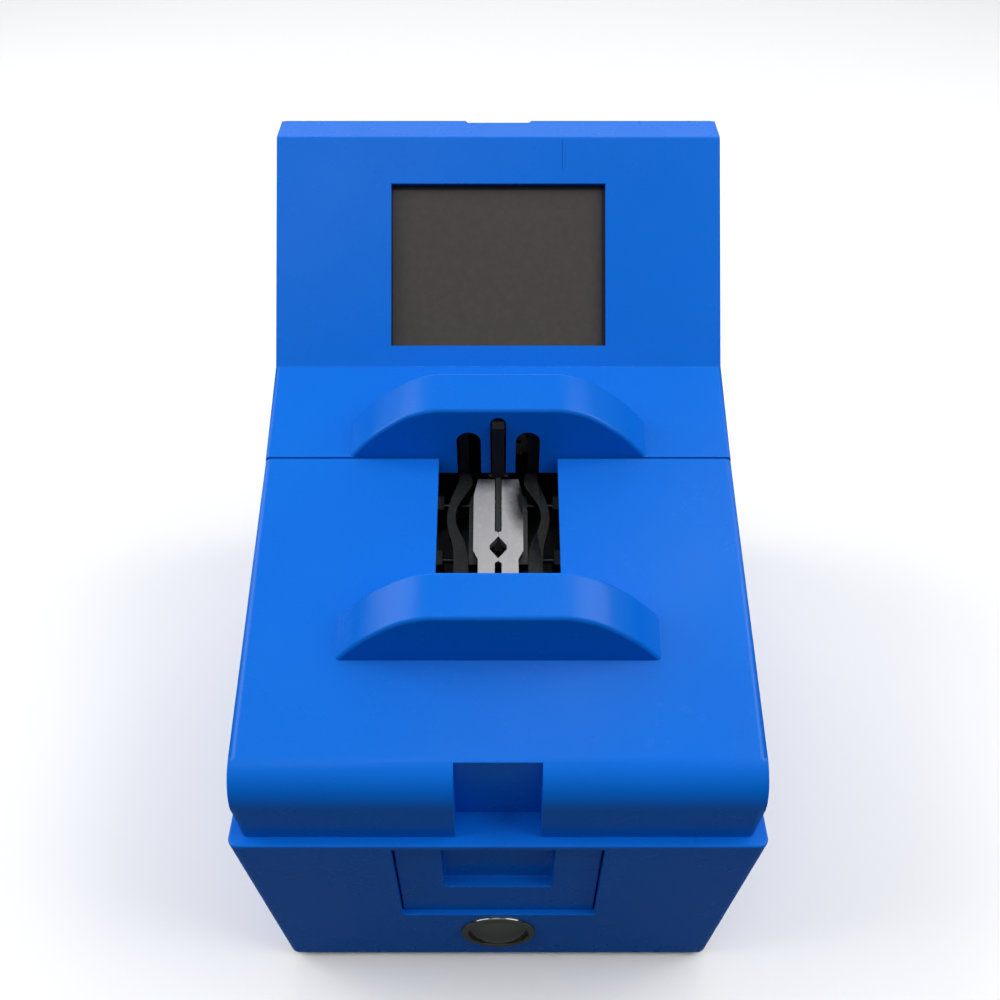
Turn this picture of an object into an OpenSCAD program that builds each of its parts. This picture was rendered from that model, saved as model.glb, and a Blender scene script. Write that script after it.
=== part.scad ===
// Bench-top gripping machine: tub base, lift-off front lid, display housing,
// two guard hoods round a feed mouth, motor-driven jaws, claws and blade.
// Origin at the centre of the feet, on the table. Front is -Y.

/* [Body] */
// Width of the base tub at its rim
rim_w = 252; // [210:1:310]
// Depth of the base tub at its rim, front to back
rim_d = 336; // [320:1:410]
// Height of the rim above the table
rim_z = 142; // [138:1:180]
// How far each side of the tub tapers in towards the bottom
side_draft = 9.5; // [4:0.5:14]
// How far the front and the back of the tub taper in
front_draft = 5; // [2:0.5:8]
// Ledge left beside the covers on each side
ledge_x = 6; // [4:0.5:10]
// Ledge left in front of and behind the covers
ledge_y = 5; // [4:0.5:8]
// Wall of the moulded shells
wall = 3.5; // [2.5:0.5:4]
// Width of the rim's inner flange
flange_w = 20; // [16:1:22]
// Height of the rubber feet
foot_h = 4; // [3:0.5:8]

/* [Covers] */
// Slope of the front deck, degrees
deck_a = 17.5; // [12:0.5:20]
// Radius of the lid's front edge
nose_r = 21; // [12:1:24]
// Height of the lid's front face below the front edge's arc
nose_h = 25.5; // [18:0.5:34]
// Seam between lid and housing, forward of the centre
seam_y = 4; // [2:1:8]
// Slope of the display panel, degrees
panel_a = 44.2; // [38:0.2:50]
// Length of the display panel along its slope
panel_l = 124.7; // [115:0.1:135]
// Depth of the feed mouth, front to back
mouth_d = 75; // [65:1:78]
// Width of the feed mouth
mouth_w = 61; // [58:1:64]
// Width of the finger notch in the lid
notch_w = 40; // [30:1:50]
// Depth of the finger notch
notch_d = 12.6; // [10:0.2:14]

/* [Guard hoods] */
// Width of each guard hood at the deck
hood_w = 152; // [130:1:170]
// Height of each guard hood
hood_h = 31; // [29:0.5:38]
// Thickness of each guard hood, front to back
hood_t = 22; // [21:0.5:26]
// Wall of the guard hoods
hood_wall = 3; // [2.5:0.5:3.5]

/* [Display] */
// Width of the display window
win_w = 116; // [100:1:130]
// Height of the display window
win_h = 88; // [76:1:92]
// Window's lower edge above the foot of the panel
win_up = 11.4; // [9:0.2:14]

/* [Drawer and button] */
// Width of the drawer's front
drawer_w = 99; // [80:1:100]
// Height of the drawer's front
drawer_h = 77; // [60:1:78]
// Depth of the drawer's tray
tray_d = 112; // [80:1:125]
// Diameter of the start button's bezel
bezel_d = 40; // [32:1:48]
// Width of the bezel's ring round the button cap
bezel_rim = 4; // [3:0.5:8]

/* [Mechanism] */
// Thickness of the jaws and claws
jaw_t = 6; // [4:0.5:6]
// Distance between the two claw pivots
pivot_gap = 26; // [24:1:28]
// Diameter of pivot pins and guide rods
pin_d = 5; // [4:0.5:5]
// Running clearance on a radius
run_c = 0.05; // [0.02:0.01:0.1]

/* [Hidden] */
$fn = 48;
gap = 0.5;
e = 0.01;
seat = 0.3;
rim_front = -(rim_d / 2 + 2);
rim_back = rim_front + rim_d;
cover_w = rim_w - 2 * ledge_x;
cover_front = rim_front + ledge_y;
cover_back = rim_back - ledge_y;
cover_z = rim_z + seat;
flange_t = 4;
floor_t = 4;
floor_z = foot_h + floor_t;
corner_r = 8;
tub_h = rim_z - foot_h;
// Lid profile
nose_y = cover_front + nose_r;
nose_z = rim_z + nose_h;
deck_y0 = nose_y - nose_r * sin(deck_a);
deck_z0 = nose_z + nose_r * cos(deck_a);
function deck_z(y) = deck_z0 + (y - deck_y0) * tan(deck_a);
lid_back = -seam_y - 0.5;
house_front = -seam_y + 0.5;
// Housing profile
crease_y = 50;
crease_z = deck_z(crease_y);
top_y = crease_y + panel_l * cos(panel_a);
top_z = crease_z + panel_l * sin(panel_a);
// Deck frame: origin on the deck at the seam, y up the slope, z out of the deck
seam_z = deck_z(-seam_y);
mouth_front = lid_back - mouth_d;
upper_y = house_front;
lower_y = -107.5;
lip_h = 11;
slot_x = 15.05;
// Mechanism heights in the deck frame
jaw_top = -12;
claw_top = jaw_top - jaw_t - 1.5;
plate_top = -50;
plate_t = 3;
plate_w = 116;
plate_front = -104;
plate_back = 58;
pivot_x = pivot_gap / 2;
pivot_y = -78;
claw_pitch = pivot_x;
gear_t = 6;
tooth_h = 1.1;
jaw_pin_y = -27;
rod_gap = 16;
jaw_pinion_r = 8;
drive_r = 6.5;
side_x = 62;
motor_r = 12.5;
motor_l = 34;
drawer_top = rim_z - flange_t - 0.5;
drawer_z = drawer_top - drawer_h;
front_lean = atan(front_draft / tub_h);
function tub_front(z) = rim_front + (rim_z - z) * tan(front_lean);
button_z = 37;
button_y = tub_front(button_z);
recess = 2.8;
bezel_tube_r = bezel_d / 2 - 2.2;
cap_r = bezel_d / 2 - bezel_rim - run_c;
dome_r = 28;
dome_h = 4.5;
pocket_w = 54;
drawer_back = tub_front(drawer_z) + recess + 9;
tray_w = 92;
tray_h = 44;
tray_wall = 2;
runner_z = drawer_z + 14;
hinge_y = rim_back + 1.4;
hinge_z = rim_z + 7.4;
knuckle_r = 3.2;
hinge_pin_r = 1.5;
door_w = cover_w - 44;
door_low = hinge_z + 3.6;
door_high = top_z - 9;
dowel_x = cover_w / 2 - 10;
dowel_y = [rim_front + 15, -22];
boss_x = cover_w / 2 - 10;
boss_y = [14, rim_back - 16];
foot_x = rim_w / 2 - 28;
foot_y = [rim_front + 30, rim_back - 30];
inlet_x = 60;
inlet_z = 70;
board_x = rim_w / 2 - 31;
board_y = [rim_back - 104, rim_back - 26];
supply_x = -(rim_w / 2 - 19);
supply_w = 27;
switch_y = -3.4;
bezel_lap = 4;
screen_screw_x = win_w / 2 + 9;
screen_screw_y = [win_up - 5, win_up + win_h + 5];
// Rear of the machine
grip_w = 38;
grip_d = 4;
knuckle_x = 70;
knuckle_w = 5;
catch_x = 40;
vent_l = 60;
vent_step = 9;
// Screws, bosses and runners
screw_r = 1.5;
bracket_y = [-60, 20];
bracket_x = side_x + 8;
runner_x = 51;
board_top = floor_z + 9.6;
board_hole_y = [board_y[0] + 6, board_y[1] - 6];
supply_y = [-60, 40];
// Teeth, gear motors and their places on the mechanism plate
claw_teeth = 26;
drive_teeth = 13;
jaw_teeth = 16;
claw_gear_z = plate_top + 2.5;
claw_drive = [-pivot_x - claw_pitch - drive_r, pivot_y];
motor_places = [claw_drive, [0, jaw_pin_y], [11.5, 34]];
gearbox_l = 14;
// Jaw rods, racks and screws
rod_z = plate_top + 17;
rod_y = [jaw_pin_y - rod_gap, jaw_pin_y + rod_gap];
rod_r = 1.5;
rack_z = plate_top + 4;
jaw_screw_x = 6.2;
jaw_screw_y = [jaw_pin_y - 4, jaw_pin_y + 4];
jaw_screw_r = 1.25;
// Blade, its rack and its rail
blade_pitch_r = 6;
blade_teeth = 12;
blade_rack_x = motor_places[2][0] - blade_pitch_r;
blade_base = plate_top + 7;
fin_t = 6;
// Slots in the rear hood: centre across, width, top above the deck
hood_slots = [[0, 8, 26.4], [-slot_x, 12.4, 16.8], [slot_x, 12.4, 16.8]];

module deck_frame() {
  translate([0, -seam_y, seam_z]) rotate([deck_a, 0, 0]) children();
}

// Centre of the power inlet on the tub's back, y out of the wall
module inlet_frame() {
  translate([inlet_x, rim_back - (rim_z - inlet_z) * tan(front_lean), inlet_z])
    rotate([-front_lean, 0, 0]) children();
}

module panel_frame() {
  translate([0, crease_y, crease_z]) rotate([panel_a, 0, 0]) children();
}

module front_frame() {
  translate([0, button_y, button_z]) rotate([90 + front_lean, 0, 0]) children();
}

// A side outline in (y, z), extruded across the machine's width
module across(w) {
  rotate([90, 0, 90]) translate([0, 0, -w / 2]) linear_extrude(w) children();
}

module box_at(x0, x1, y0, y1, z0, z1) {
  translate([x0, y0, z0]) cube([x1 - x0, y1 - y0, z1 - z0]);
}

module rounded_plate(x, y0, y1, z, r) {
  for (sx = [-1, 1], y = [y0 + r, y1 - r])
    translate([sx * (x - r), y, z]) cylinder(h = e, r = r, $fn = 32);
}

module tub_body(inset, z0, z1) {
  low = side_draft * (rim_z - z0) / tub_h;
  high = side_draft * (rim_z - z1) / tub_h;
  lowy = front_draft * (rim_z - z0) / tub_h;
  highy = front_draft * (rim_z - z1) / tub_h;
  hull() {
    rounded_plate(rim_w / 2 - low - inset, rim_front + lowy + inset, rim_back - lowy - inset, z0,
      corner_r - inset * 0.8);
    rounded_plate(rim_w / 2 - high - inset, rim_front + highy + inset, rim_back - highy - inset,
      z1 - e, corner_r - inset * 0.8);
  }
}

module base_tray() {
  color("#1058b4") difference() {
    tub_body(0, foot_h, rim_z);
    tub_body(wall, floor_z, rim_z - flange_t);
    box_at(-rim_w / 2 + flange_w, rim_w / 2 - flange_w, rim_front + flange_w,
      rim_back - flange_w, rim_z - flange_t - 1, rim_z + 1);
    box_at(-drawer_w / 2 - gap, drawer_w / 2 + gap, rim_front - 1, rim_front + 14,
      drawer_z - gap, rim_z - flange_t);
    front_frame() translate([0, 0, -20]) cylinder(h = 40, r = bezel_tube_r + gap);
    for (sx = [-1, 1], y = dowel_y)
      translate([sx * dowel_x, y, rim_z - flange_t - 1]) cylinder(h = flange_t + 2, r = pin_d / 2);
    for (sx = [-1, 1], y = boss_y)
      translate([sx * boss_x, y, rim_z - flange_t - 1]) cylinder(h = flange_t + 2, r = 2.2);
    for (sx = [-1, 1], y = foot_y)
      translate([sx * foot_x, y, 0]) cylinder(h = 20, r = 1.7);
    inlet_frame() box_at(-14, 14, -10, 2, -24, 24);
    for (sx = [-1, 1], y = bracket_y)
      translate([sx * bracket_x, y, foot_h - 1]) cylinder(h = floor_t + 2, r = 1.7);
  }
}

module rubber_feet() {
  color("#202022") for (sx = [-1, 1], y = foot_y) translate([sx * foot_x, y, 0])
    difference() {
      cylinder(h = foot_h, r = 10);
      translate([0, 0, -1]) cylinder(h = 3, r = 4);
      cylinder(h = foot_h + 1, r = 1.8);
    }
}

module foot_screws() {
  color("silver") for (sx = [-1, 1], y = foot_y) translate([sx * foot_x, y, 0]) {
    translate([0, 0, 2]) cylinder(h = floor_z + 1, r = screw_r);
    translate([0, 0, 0.6]) cylinder(h = 1.4, r = 3);
    translate([0, 0, floor_z]) cylinder(h = 2.4, r = 3.2, $fn = 6);
  }
}

// Side outline of the lid, moved inwards by d; the inner one runs past the open sides
module lid_profile(d) {
  past = d > 0 ? 1 : 0;
  back = lid_back + past;
  polygon([[back, cover_z - past], [cover_front + d, cover_z - past], [cover_front + d, nose_z],
    [nose_y, nose_z], [deck_y0 + d * sin(deck_a), deck_z0 - d * cos(deck_a)],
    [back, deck_z(back) - d / cos(deck_a)]]);
  intersection() {
    translate([nose_y, nose_z]) circle(r = nose_r - d, $fn = 96);
    polygon([[nose_y, nose_z], [cover_front - 1, nose_z], [cover_front - 1, nose_z + nose_r + 5],
      [deck_y0 - 5 * tan(deck_a) + d * sin(deck_a), deck_z0 + 5],
      [deck_y0 + d * sin(deck_a), deck_z0 - d * cos(deck_a)]]);
  }
}

// Arch outline of a guard hood: x across, y above the deck
module arch(grow) {
  k = hood_w / 152;
  h = hood_h * cos(deck_a) / 31;
  polygon([[-76 * k + grow, -12], [-76 * k + grow, 0], [-66 * k + grow, 11.5 * h],
    [-56 * k + grow * 0.8, 19.7 * h - grow * 0.5], [-45 * k + grow * 0.5, 27.5 * h - grow * 0.8],
    [-33 * k, 31 * h - grow], [33 * k, 31 * h - grow],
    [45 * k - grow * 0.5, 27.5 * h - grow * 0.8], [56 * k - grow * 0.8, 19.7 * h - grow * 0.5],
    [66 * k - grow, 11.5 * h], [76 * k - grow, 0], [76 * k - grow, -12]]);
}

module hood(y, t, inset, low) {
  intersection() {
    translate([0, y, deck_z(y)]) rotate([deck_a, 0, 0]) translate([0, 60, 0])
      rotate([90, 0, 0]) linear_extrude(120) arch(inset);
    box_at(-hood_w, hood_w, y + inset, y + t - inset, deck_z(y) - low, deck_z(y) + 60);
  }
}

module front_lid() {
  color("#0a70e0") {
    difference() {
      union() {
        difference() {
          across(cover_w) lid_profile(0);
          across(cover_w - 2 * wall) lid_profile(wall);
        }
        hood(lower_y, hood_t, 0, 0.5);
        intersection() {
          across(notch_w + 2 * wall) lid_profile(0);
          box_at(-notch_w, notch_w, cover_front - 1, cover_front + notch_d + wall, cover_z - 1, seam_z);
        }
      }
      hood(lower_y, hood_t, hood_wall, 12);
      box_at(-mouth_w / 2, mouth_w / 2, mouth_front, 10, seam_z - 60, seam_z + 40);
      box_at(-notch_w / 2, notch_w / 2, cover_front - 1, cover_front + notch_d, rim_z - 1,
        seam_z);
    }
    for (sx = [-1, 1]) difference() {
      union() {
        translate([sx * dowel_x, dowel_y[0], cover_z]) cylinder(h = 30, r = 5);
        translate([sx * dowel_x, dowel_y[1], cover_z])
          cylinder(h = deck_z(dowel_y[1]) - cover_z - wall / 2, r = 5);
        for (y = dowel_y) box_at(sx > 0 ? dowel_x : -cover_w / 2 + 1,
          sx > 0 ? cover_w / 2 - 1 : -dowel_x, y - 1.5, y + 1.5, cover_z, cover_z + 28);
      }
      for (y = dowel_y) translate([sx * dowel_x, y, cover_z - 1]) cylinder(h = 20, r = pin_d / 2 + 0.1);
    }
  }
}

module lid_dowels() {
  color("silver") for (sx = [-1, 1], y = dowel_y)
    translate([sx * dowel_x, y, rim_z - flange_t]) cylinder(h = flange_t + 14, r = pin_d / 2);
}

// Side outline of the housing, moved inwards by d
module house_profile(d) {
  past = d > 0 ? 1 : 0;
  fy = house_front - past;
  cy = crease_y - d * tan((panel_a - deck_a) / 2) * cos(deck_a) + d * sin(deck_a);
  ty = top_y + d * tan(panel_a / 2);
  polygon([[fy, cover_z - past], [fy, deck_z(fy) - d / cos(deck_a)], [cy, deck_z(cy) - d / cos(deck_a)],
    [ty, top_z - d], [cover_back - d, top_z - d], [cover_back - d, cover_z - past]]);
}

module slot_cuts() {
  y0 = house_front - 20;
  l = 26;
  for (s = hood_slots) {
    box_at(s[0] - s[1] / 2, s[0] + s[1] / 2, y0, y0 + l, seam_z - 30, seam_z + s[2] - s[1] / 2);
    translate([s[0], y0, seam_z + s[2] - s[1] / 2]) rotate([-90, 0, 0]) cylinder(h = l, r = s[1] / 2);
  }
}

module rear_housing() {
  color("#0a6ad8") {
    difference() {
      union() {
        difference() {
          across(cover_w) house_profile(0);
          across(cover_w - 2 * wall) house_profile(wall);
        }
        hood(upper_y, hood_t, 0, 0.5);
        box_at(-cover_w / 2 + 1, cover_w / 2 - 1, house_front, house_front + hood_wall,
          seam_z - lip_h, seam_z - 1);
      }
      hood(upper_y, hood_t, hood_wall, 12);
      slot_cuts();
      panel_frame() translate([-win_w / 2, win_up, -10]) cube([win_w, win_h, 20]);
      box_at(-door_w / 2 - gap, door_w / 2 + gap, cover_back - 8, cover_back + 1, door_low - gap,
        door_high + gap);
      box_at(-grip_w / 2, grip_w / 2, cover_back - grip_d, cover_back + 1, door_high - 1, top_z + 1);
    }
    for (sx = [-1, 1], y = boss_y) difference() {
      union() {
        translate([sx * boss_x, y, cover_z]) cylinder(h = 24, r = 4.5);
        box_at(sx > 0 ? boss_x : -cover_w / 2 + 1, sx > 0 ? cover_w / 2 - 1 : -boss_x,
          y - 1.5, y + 1.5, cover_z, cover_z + 22);
      }
      translate([sx * boss_x, y, cover_z - 1]) cylinder(h = 16, r = 1.9);
    }
    panel_frame() for (x = [-1, 1], y = screen_screw_y) difference() {
      translate([x * screen_screw_x, y, -wall - 7]) cylinder(h = 8, r = 3.6);
      translate([x * screen_screw_x, y, -wall - 8]) cylinder(h = 7, r = 1.4);
    }
    for (sx = [-1, 1]) {
      for (k = [0, 1]) difference() {
        union() {
          translate([sx * knuckle_x - 11 + k * 17, hinge_y, hinge_z]) rotate([0, 90, 0])
            cylinder(h = knuckle_w, r = knuckle_r);
          box_at(sx * knuckle_x - 11 + k * 17, sx * knuckle_x - 6 + k * 17, cover_back - 1, hinge_y,
            hinge_z - knuckle_r, hinge_z - 0.6);
        }
        translate([sx * knuckle_x - 20, hinge_y, hinge_z]) rotate([0, 90, 0])
          cylinder(h = 40, r = hinge_pin_r);
      }
    }
  }
}

module door_hinge_pins() {
  color("silver") for (sx = [-1, 1]) translate([sx * knuckle_x - 11, hinge_y, hinge_z])
    rotate([0, 90, 0]) cylinder(h = 22, r = hinge_pin_r);
}

module rear_door() {
  color("#0a62c8") {
    difference() {
      box_at(-door_w / 2, door_w / 2, cover_back - 3, cover_back, door_low, door_high);
      box_at(-15, 15, cover_back - 8, cover_back + 1, door_high - 7, door_high + 1);
      for (k = [0 : 5]) box_at(-vent_l / 2, vent_l / 2, cover_back - 4, cover_back + 1,
        door_low + 60 + k * vent_step, door_low + 63 + k * vent_step);
    }
    for (sx = [-1, 1]) difference() {
      union() {
        translate([sx * knuckle_x - 5.5, hinge_y, hinge_z]) rotate([0, 90, 0])
          cylinder(h = 11, r = knuckle_r);
        box_at(sx * knuckle_x - 5.5, sx * knuckle_x + 5.5, cover_back - 1, hinge_y + 1, door_low,
          door_low + 3);
        box_at(sx * knuckle_x - 5.5, sx * knuckle_x + 5.5, cover_back + 0.5, hinge_y + 1, hinge_z + 1,
          door_low + 3);
      }
      translate([sx * knuckle_x - 20, hinge_y, hinge_z]) rotate([0, 90, 0])
        cylinder(h = 40, r = hinge_pin_r + run_c);
    }
    for (x = [-catch_x, catch_x]) box_at(x - 7, x + 7, cover_back - 4.5, cover_back - 2.5, door_high - 12,
      door_high - 2);
  }
}

module door_magnet() {
  color("#55585c") for (x = [-catch_x, catch_x]) {
    box_at(x - 7, x + 7, cover_back - 12.5, cover_back - 4.8, door_high - 12, door_high - 4);
    box_at(x - 4, x + 4, cover_back - 12.5, cover_back - 8, door_high - 4.5, top_z - wall);
  }
}

module drawer_front() {
  color("#0c4ea6") difference() {
    intersection() {
      box_at(-drawer_w / 2, drawer_w / 2, rim_front, drawer_back, drawer_z, drawer_top);
      translate([0, tub_front(0) + recess, 0]) rotate([front_lean, 0, 0])
        box_at(-drawer_w, drawer_w, 0, 40, 0, rim_z + 20);
    }
    box_at(-pocket_w / 2, pocket_w / 2, rim_front - 1, drawer_back - 4, drawer_top - 48,
      drawer_top - 4);
  }
}

module drawer_tray() {
  color("#2a3238") difference() {
    union() {
      box_at(-tray_w / 2, tray_w / 2, drawer_back, drawer_back + tray_d, drawer_z + 2,
        drawer_z + 2 + tray_h);
      for (sx = [-1, 1]) box_at(sx * (tray_w / 2 + 1) - 1.5, sx * (tray_w / 2 + 1) + 1.5,
        drawer_back + 2, drawer_back + tray_d - 2, runner_z - 2.5, runner_z + 2.5);
    }
    box_at(-tray_w / 2 + tray_wall, tray_w / 2 - tray_wall, drawer_back + tray_wall,
      drawer_back + tray_d - tray_wall, drawer_z + 2 + tray_wall, drawer_z + 60);
  }
}

module drawer_runners() {
  y0 = drawer_back + 1;
  color("#b8bcc0") for (sx = [-1, 1]) difference() {
    union() {
      box_at(sx * runner_x - 2.6, sx * runner_x + 2.6, y0, y0 + tray_d + 12, runner_z - 6, runner_z + 6);
      for (y = [y0 + 14, y0 + tray_d - 10]) box_at(sx * runner_x - 2.6, sx * runner_x + 2.6, y - 5, y + 5,
        floor_z, runner_z - 5);
      for (y = [y0 + 14, y0 + tray_d - 10]) box_at(sx * (runner_x + 3) - 5.6,
        sx * (runner_x + 3) + 5.6, y - 5, y + 5, floor_z, floor_z + 1.6);
    }
    box_at(sx * (tray_w / 2 + 1) - 1.9, sx * (tray_w / 2 + 1) + 1.9, y0 - 1, y0 + tray_d + 9,
      runner_z - 2.9, runner_z + 2.9);
  }
}

module button_bezel() {
  color("#9a9c94") front_frame() {
    difference() {
      union() {
        cylinder(h = 1.8, r1 = bezel_d / 2, r2 = bezel_d / 2 - 1.6, $fn = 96);
        translate([0, 0, -16]) cylinder(h = 16 + e, r = bezel_tube_r, $fn = 96);
        translate([0, 0, -wall - 6]) cylinder(h = 5, r = bezel_d / 2 + 1, $fn = 6);
      }
      translate([0, 0, -17]) cylinder(h = 30, r = cap_r + run_c, $fn = 96);
    }
  }
}

module button_cap() {
  color("#b4b6ac") front_frame() {
    translate([0, 0, -10]) cylinder(h = 10.4, r = cap_r, $fn = 96);
    intersection() {
      translate([0, 0, dome_h - dome_r]) sphere(r = dome_r, $fn = 96);
      translate([0, 0, 0.3]) cylinder(h = 8, r = cap_r, $fn = 96);
    }
    translate([0, 0, -13]) cylinder(h = 4, r = 2.4);
  }
}

module button_spring() {
  color("silver") front_frame() for (k = [0 : 3]) translate([0, 0, -15.4 + k * 1.5])
    rotate_extrude($fn = 48) translate([5, 0]) circle(r = 0.45, $fn = 16);
}

module button_switch() {
  color("#30343a") front_frame() {
    translate([0, 0, -34]) cylinder(h = 18, r = 10);
    translate([0, 0, -17]) cylinder(h = 1, r = bezel_tube_r);
    for (x = [-4, 4]) translate([x - 1.2, -0.4, -40]) cube([2.4, 0.8, 7]);
  }
}

module housing_screws() {
  color("silver") for (sx = [-1, 1], y = boss_y) translate([sx * boss_x, y, 0]) {
    translate([0, 0, rim_z - flange_t - 2.4]) cylinder(h = 2.4, r = 3.6);
    translate([0, 0, rim_z - flange_t - 0.2]) cylinder(h = flange_t + 12, r = 1.9);
  }
}

module display_gasket() {
  color("#101012") panel_frame() difference() {
    translate([-win_w / 2 - bezel_lap, win_up - bezel_lap, -wall - 1])
      cube([win_w + 2 * bezel_lap, win_h + 2 * bezel_lap, 1]);
    translate([-win_w / 2, win_up, -wall - 2]) cube([win_w, win_h, 4]);
  }
}

module display_panel() {
  color("#3e3936") panel_frame() translate([-win_w / 2 - bezel_lap, win_up - bezel_lap, -wall - 6])
    cube([win_w + 2 * bezel_lap, win_h + 2 * bezel_lap, 5]);
}

module display_frame() {
  color("#8a8d90") panel_frame() difference() {
    translate([-win_w / 2 - 14, win_up - 10, -wall - 8.6]) cube([win_w + 28, win_h + 20, 1.6]);
    translate([-win_w / 2 + 6, win_up + 6, -wall - 12]) cube([win_w - 12, win_h - 12, 8]);
    for (x = [-1, 1], y = screen_screw_y)
      translate([x * screen_screw_x, y, -wall - 12]) cylinder(h = 8, r = 1.8);
  }
  color("#8a8d90") panel_frame() for (x = [-1, 1])
    translate([x * (win_w / 2 - 10) - 6, win_up + 20, -wall - 7]) cube([12, 48, 1]);
}

module display_board() {
  color("#1d5a32") panel_frame() {
    translate([-win_w / 2 + 2, win_up + 4, -wall - 14.6]) cube([win_w - 4, win_h - 8, 1.6]);
    for (x = [-1, 1], y = [win_up + 9, win_up + win_h - 9])
      translate([x * (win_w / 2 - 3), y, -wall - 13]) cylinder(h = 4.4, r = 2);
    for (k = [0 : 3]) translate([-36 + k * 20, win_up + 30, -wall - 17]) cube([12, 12, 2.4]);
    translate([-30, win_up + 58, -wall - 20]) cube([40, 7, 5.4]);
  }
}

module display_screws() {
  color("silver") panel_frame() for (x = [-1, 1], y = screen_screw_y)
    translate([x * screen_screw_x, y, 0]) {
      translate([0, 0, -wall - 10.4]) cylinder(h = 1.8, r = 2.8);
      translate([0, 0, -wall - 8.7]) cylinder(h = 6.5, r = 1.4);
    }
}

module mechanism_plate() {
  color("#1b1c1e") deck_frame() difference() {
    union() {
      translate([-plate_w / 2, plate_front, plate_top - plate_t])
        cube([plate_w, plate_back - plate_front, plate_t]);
      for (sx = [-1, 1]) translate([sx * (plate_w / 2 - 1) - 1, plate_front, plate_top - plate_t])
        cube([2, plate_back - plate_front, 14]);
    }
    for (sx = [-1, 1]) translate([sx * pivot_x, pivot_y, plate_top - 10])
      cylinder(h = 20, r = pin_d / 2);
    for (c = motor_places) translate([c[0], c[1], plate_top - 10]) cylinder(h = 20, r = 4);
    translate([-9, 8, plate_top - 10]) cube([18, 4, 20]);
  }
}

module side_brackets() {
  c = cos(deck_a);
  s = sin(deck_a);
  function py(y) = -seam_y + y * c - (plate_top - plate_t) * s;
  function pz(y) = seam_z + y * s + (plate_top - plate_t) * c;
  color("#8d9196") for (sx = [-1, 1]) {
    translate([sx * (side_x - 1), 0, 0]) across(2) polygon([[-80, floor_z], [40, floor_z],
      [40, floor_z + 30], [py(plate_back), pz(plate_back) + 10], [py(plate_front), pz(plate_front) + 10],
      [-80, floor_z + 30]]);
    difference() {
      box_at(sx > 0 ? side_x - 1 : -side_x - 16, sx > 0 ? side_x + 16 : -side_x + 1, -80, 40,
        floor_z, floor_z + 2);
      for (y = bracket_y) translate([sx * bracket_x, y, floor_z - 1]) cylinder(h = 4, r = 1.7);
    }
    deck_frame() translate([sx * (plate_w / 2 + 1) - 1, plate_front + 4,
      plate_top + 2]) cube([2, plate_back - plate_front - 8, 8]);
  }
}

module bracket_screws() {
  color("silver") for (sx = [-1, 1], y = bracket_y) translate([sx * bracket_x, y, 0]) {
    translate([0, 0, foot_h]) cylinder(h = floor_t + 6, r = screw_r);
    translate([0, 0, floor_z + 2]) cylinder(h = 2.2, r = 3);
  }
}

// Outline of a spur gear: a root circle with trapezoid teeth
module gear_outline(pitch, teeth, bore, turn) {
  pi_t = 360 / teeth;
  half = pitch * 3.14159 / teeth / 2 - 0.28;
  rotate([0, 0, turn]) difference() {
    union() {
      circle(r = pitch - tooth_h, $fn = 48);
      for (k = [0 : teeth - 1]) rotate([0, 0, k * pi_t]) polygon([
        [0, -half * 0.5], [pitch - tooth_h, -half - 0.12], [pitch + tooth_h - 0.35, -half * 0.42],
        [pitch + tooth_h - 0.35, half * 0.42], [pitch - tooth_h, half + 0.12], [0, half * 0.5]]);
    }
    circle(r = bore, $fn = 32);
  }
}

module claw_pivot_pins() {
  color("silver") deck_frame() for (sx = [-1, 1]) translate([sx * pivot_x, pivot_y, plate_top - plate_t])
    cylinder(h = claw_top - plate_top + plate_t + 2, r = pin_d / 2);
}

// Right-hand claw; the left one is its mirror image
module claw_half(turn) {
  top = claw_top;
  arm = [[15, pivot_y], [15, -42], [19.6, -33], [22.4, -25], [20, -16], [13.2, -7], [13.2, 2.5],
    [15.3, 2.5], [20.4, 2.5], [20.4, -4], [23.6, -13], [26.6, -25], [25.4, -33], [23, -42],
    [23, pivot_y]];
  difference() {
    union() {
      translate([0, 0, top - jaw_t]) linear_extrude(jaw_t) polygon(arm);
      translate([pivot_x, pivot_y, top - jaw_t]) cylinder(h = jaw_t, r = 10);
      translate([pivot_x, pivot_y, claw_gear_z]) cylinder(h = top - claw_gear_z - 1, r = 5.5);
      translate([pivot_x, pivot_y, claw_gear_z]) linear_extrude(gear_t)
        gear_outline(claw_pitch, claw_teeth, 1, turn);
      translate([15.3, 0, 0]) rotate([90, 0, 90]) linear_extrude(5.1)
        polygon([[1.6, top - jaw_t], [1.6, -13], [10.4, 17], [14.4, 17], [6.8, top - jaw_t]]);
    }
    translate([pivot_x, pivot_y, plate_top]) cylinder(h = 60, r = pin_d / 2 + run_c);
  }
}

module right_claw() {
  color("#26272a") deck_frame() claw_half(0);
}

module left_claw() {
  color("#26272a") deck_frame() mirror([1, 0, 0]) claw_half(360 / claw_teeth / 2);
}

module claw_drive_gear() {
  color("#d8d2bc") deck_frame() translate([claw_drive[0], claw_drive[1], claw_gear_z])
    linear_extrude(gear_t) gear_outline(drive_r, drive_teeth, 1.5, 0);
}

module gear_motor(c, shaft_top) {
  translate([c[0], c[1], 0]) {
    translate([0, 0, plate_top - plate_t - gearbox_l]) cylinder(h = gearbox_l, r = motor_r + 1);
    translate([0, 0, plate_top - plate_t - gearbox_l - motor_l + 10])
      cylinder(h = motor_l - 10, r = motor_r);
    translate([0, 0, plate_top - plate_t]) cylinder(h = plate_t, r = 3.9);
    translate([0, 0, plate_top - plate_t]) cylinder(h = shaft_top - plate_top + plate_t, r = 1.45);
    for (x = [-5, 5]) translate([x - 1.2, -0.4, plate_top - plate_t - gearbox_l - motor_l + 5])
      cube([2.4, 0.8, 6]);
  }
}

module claw_motor() {
  color("#9fa3a6") deck_frame() gear_motor(claw_drive, claw_gear_z + gear_t);
}

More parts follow.
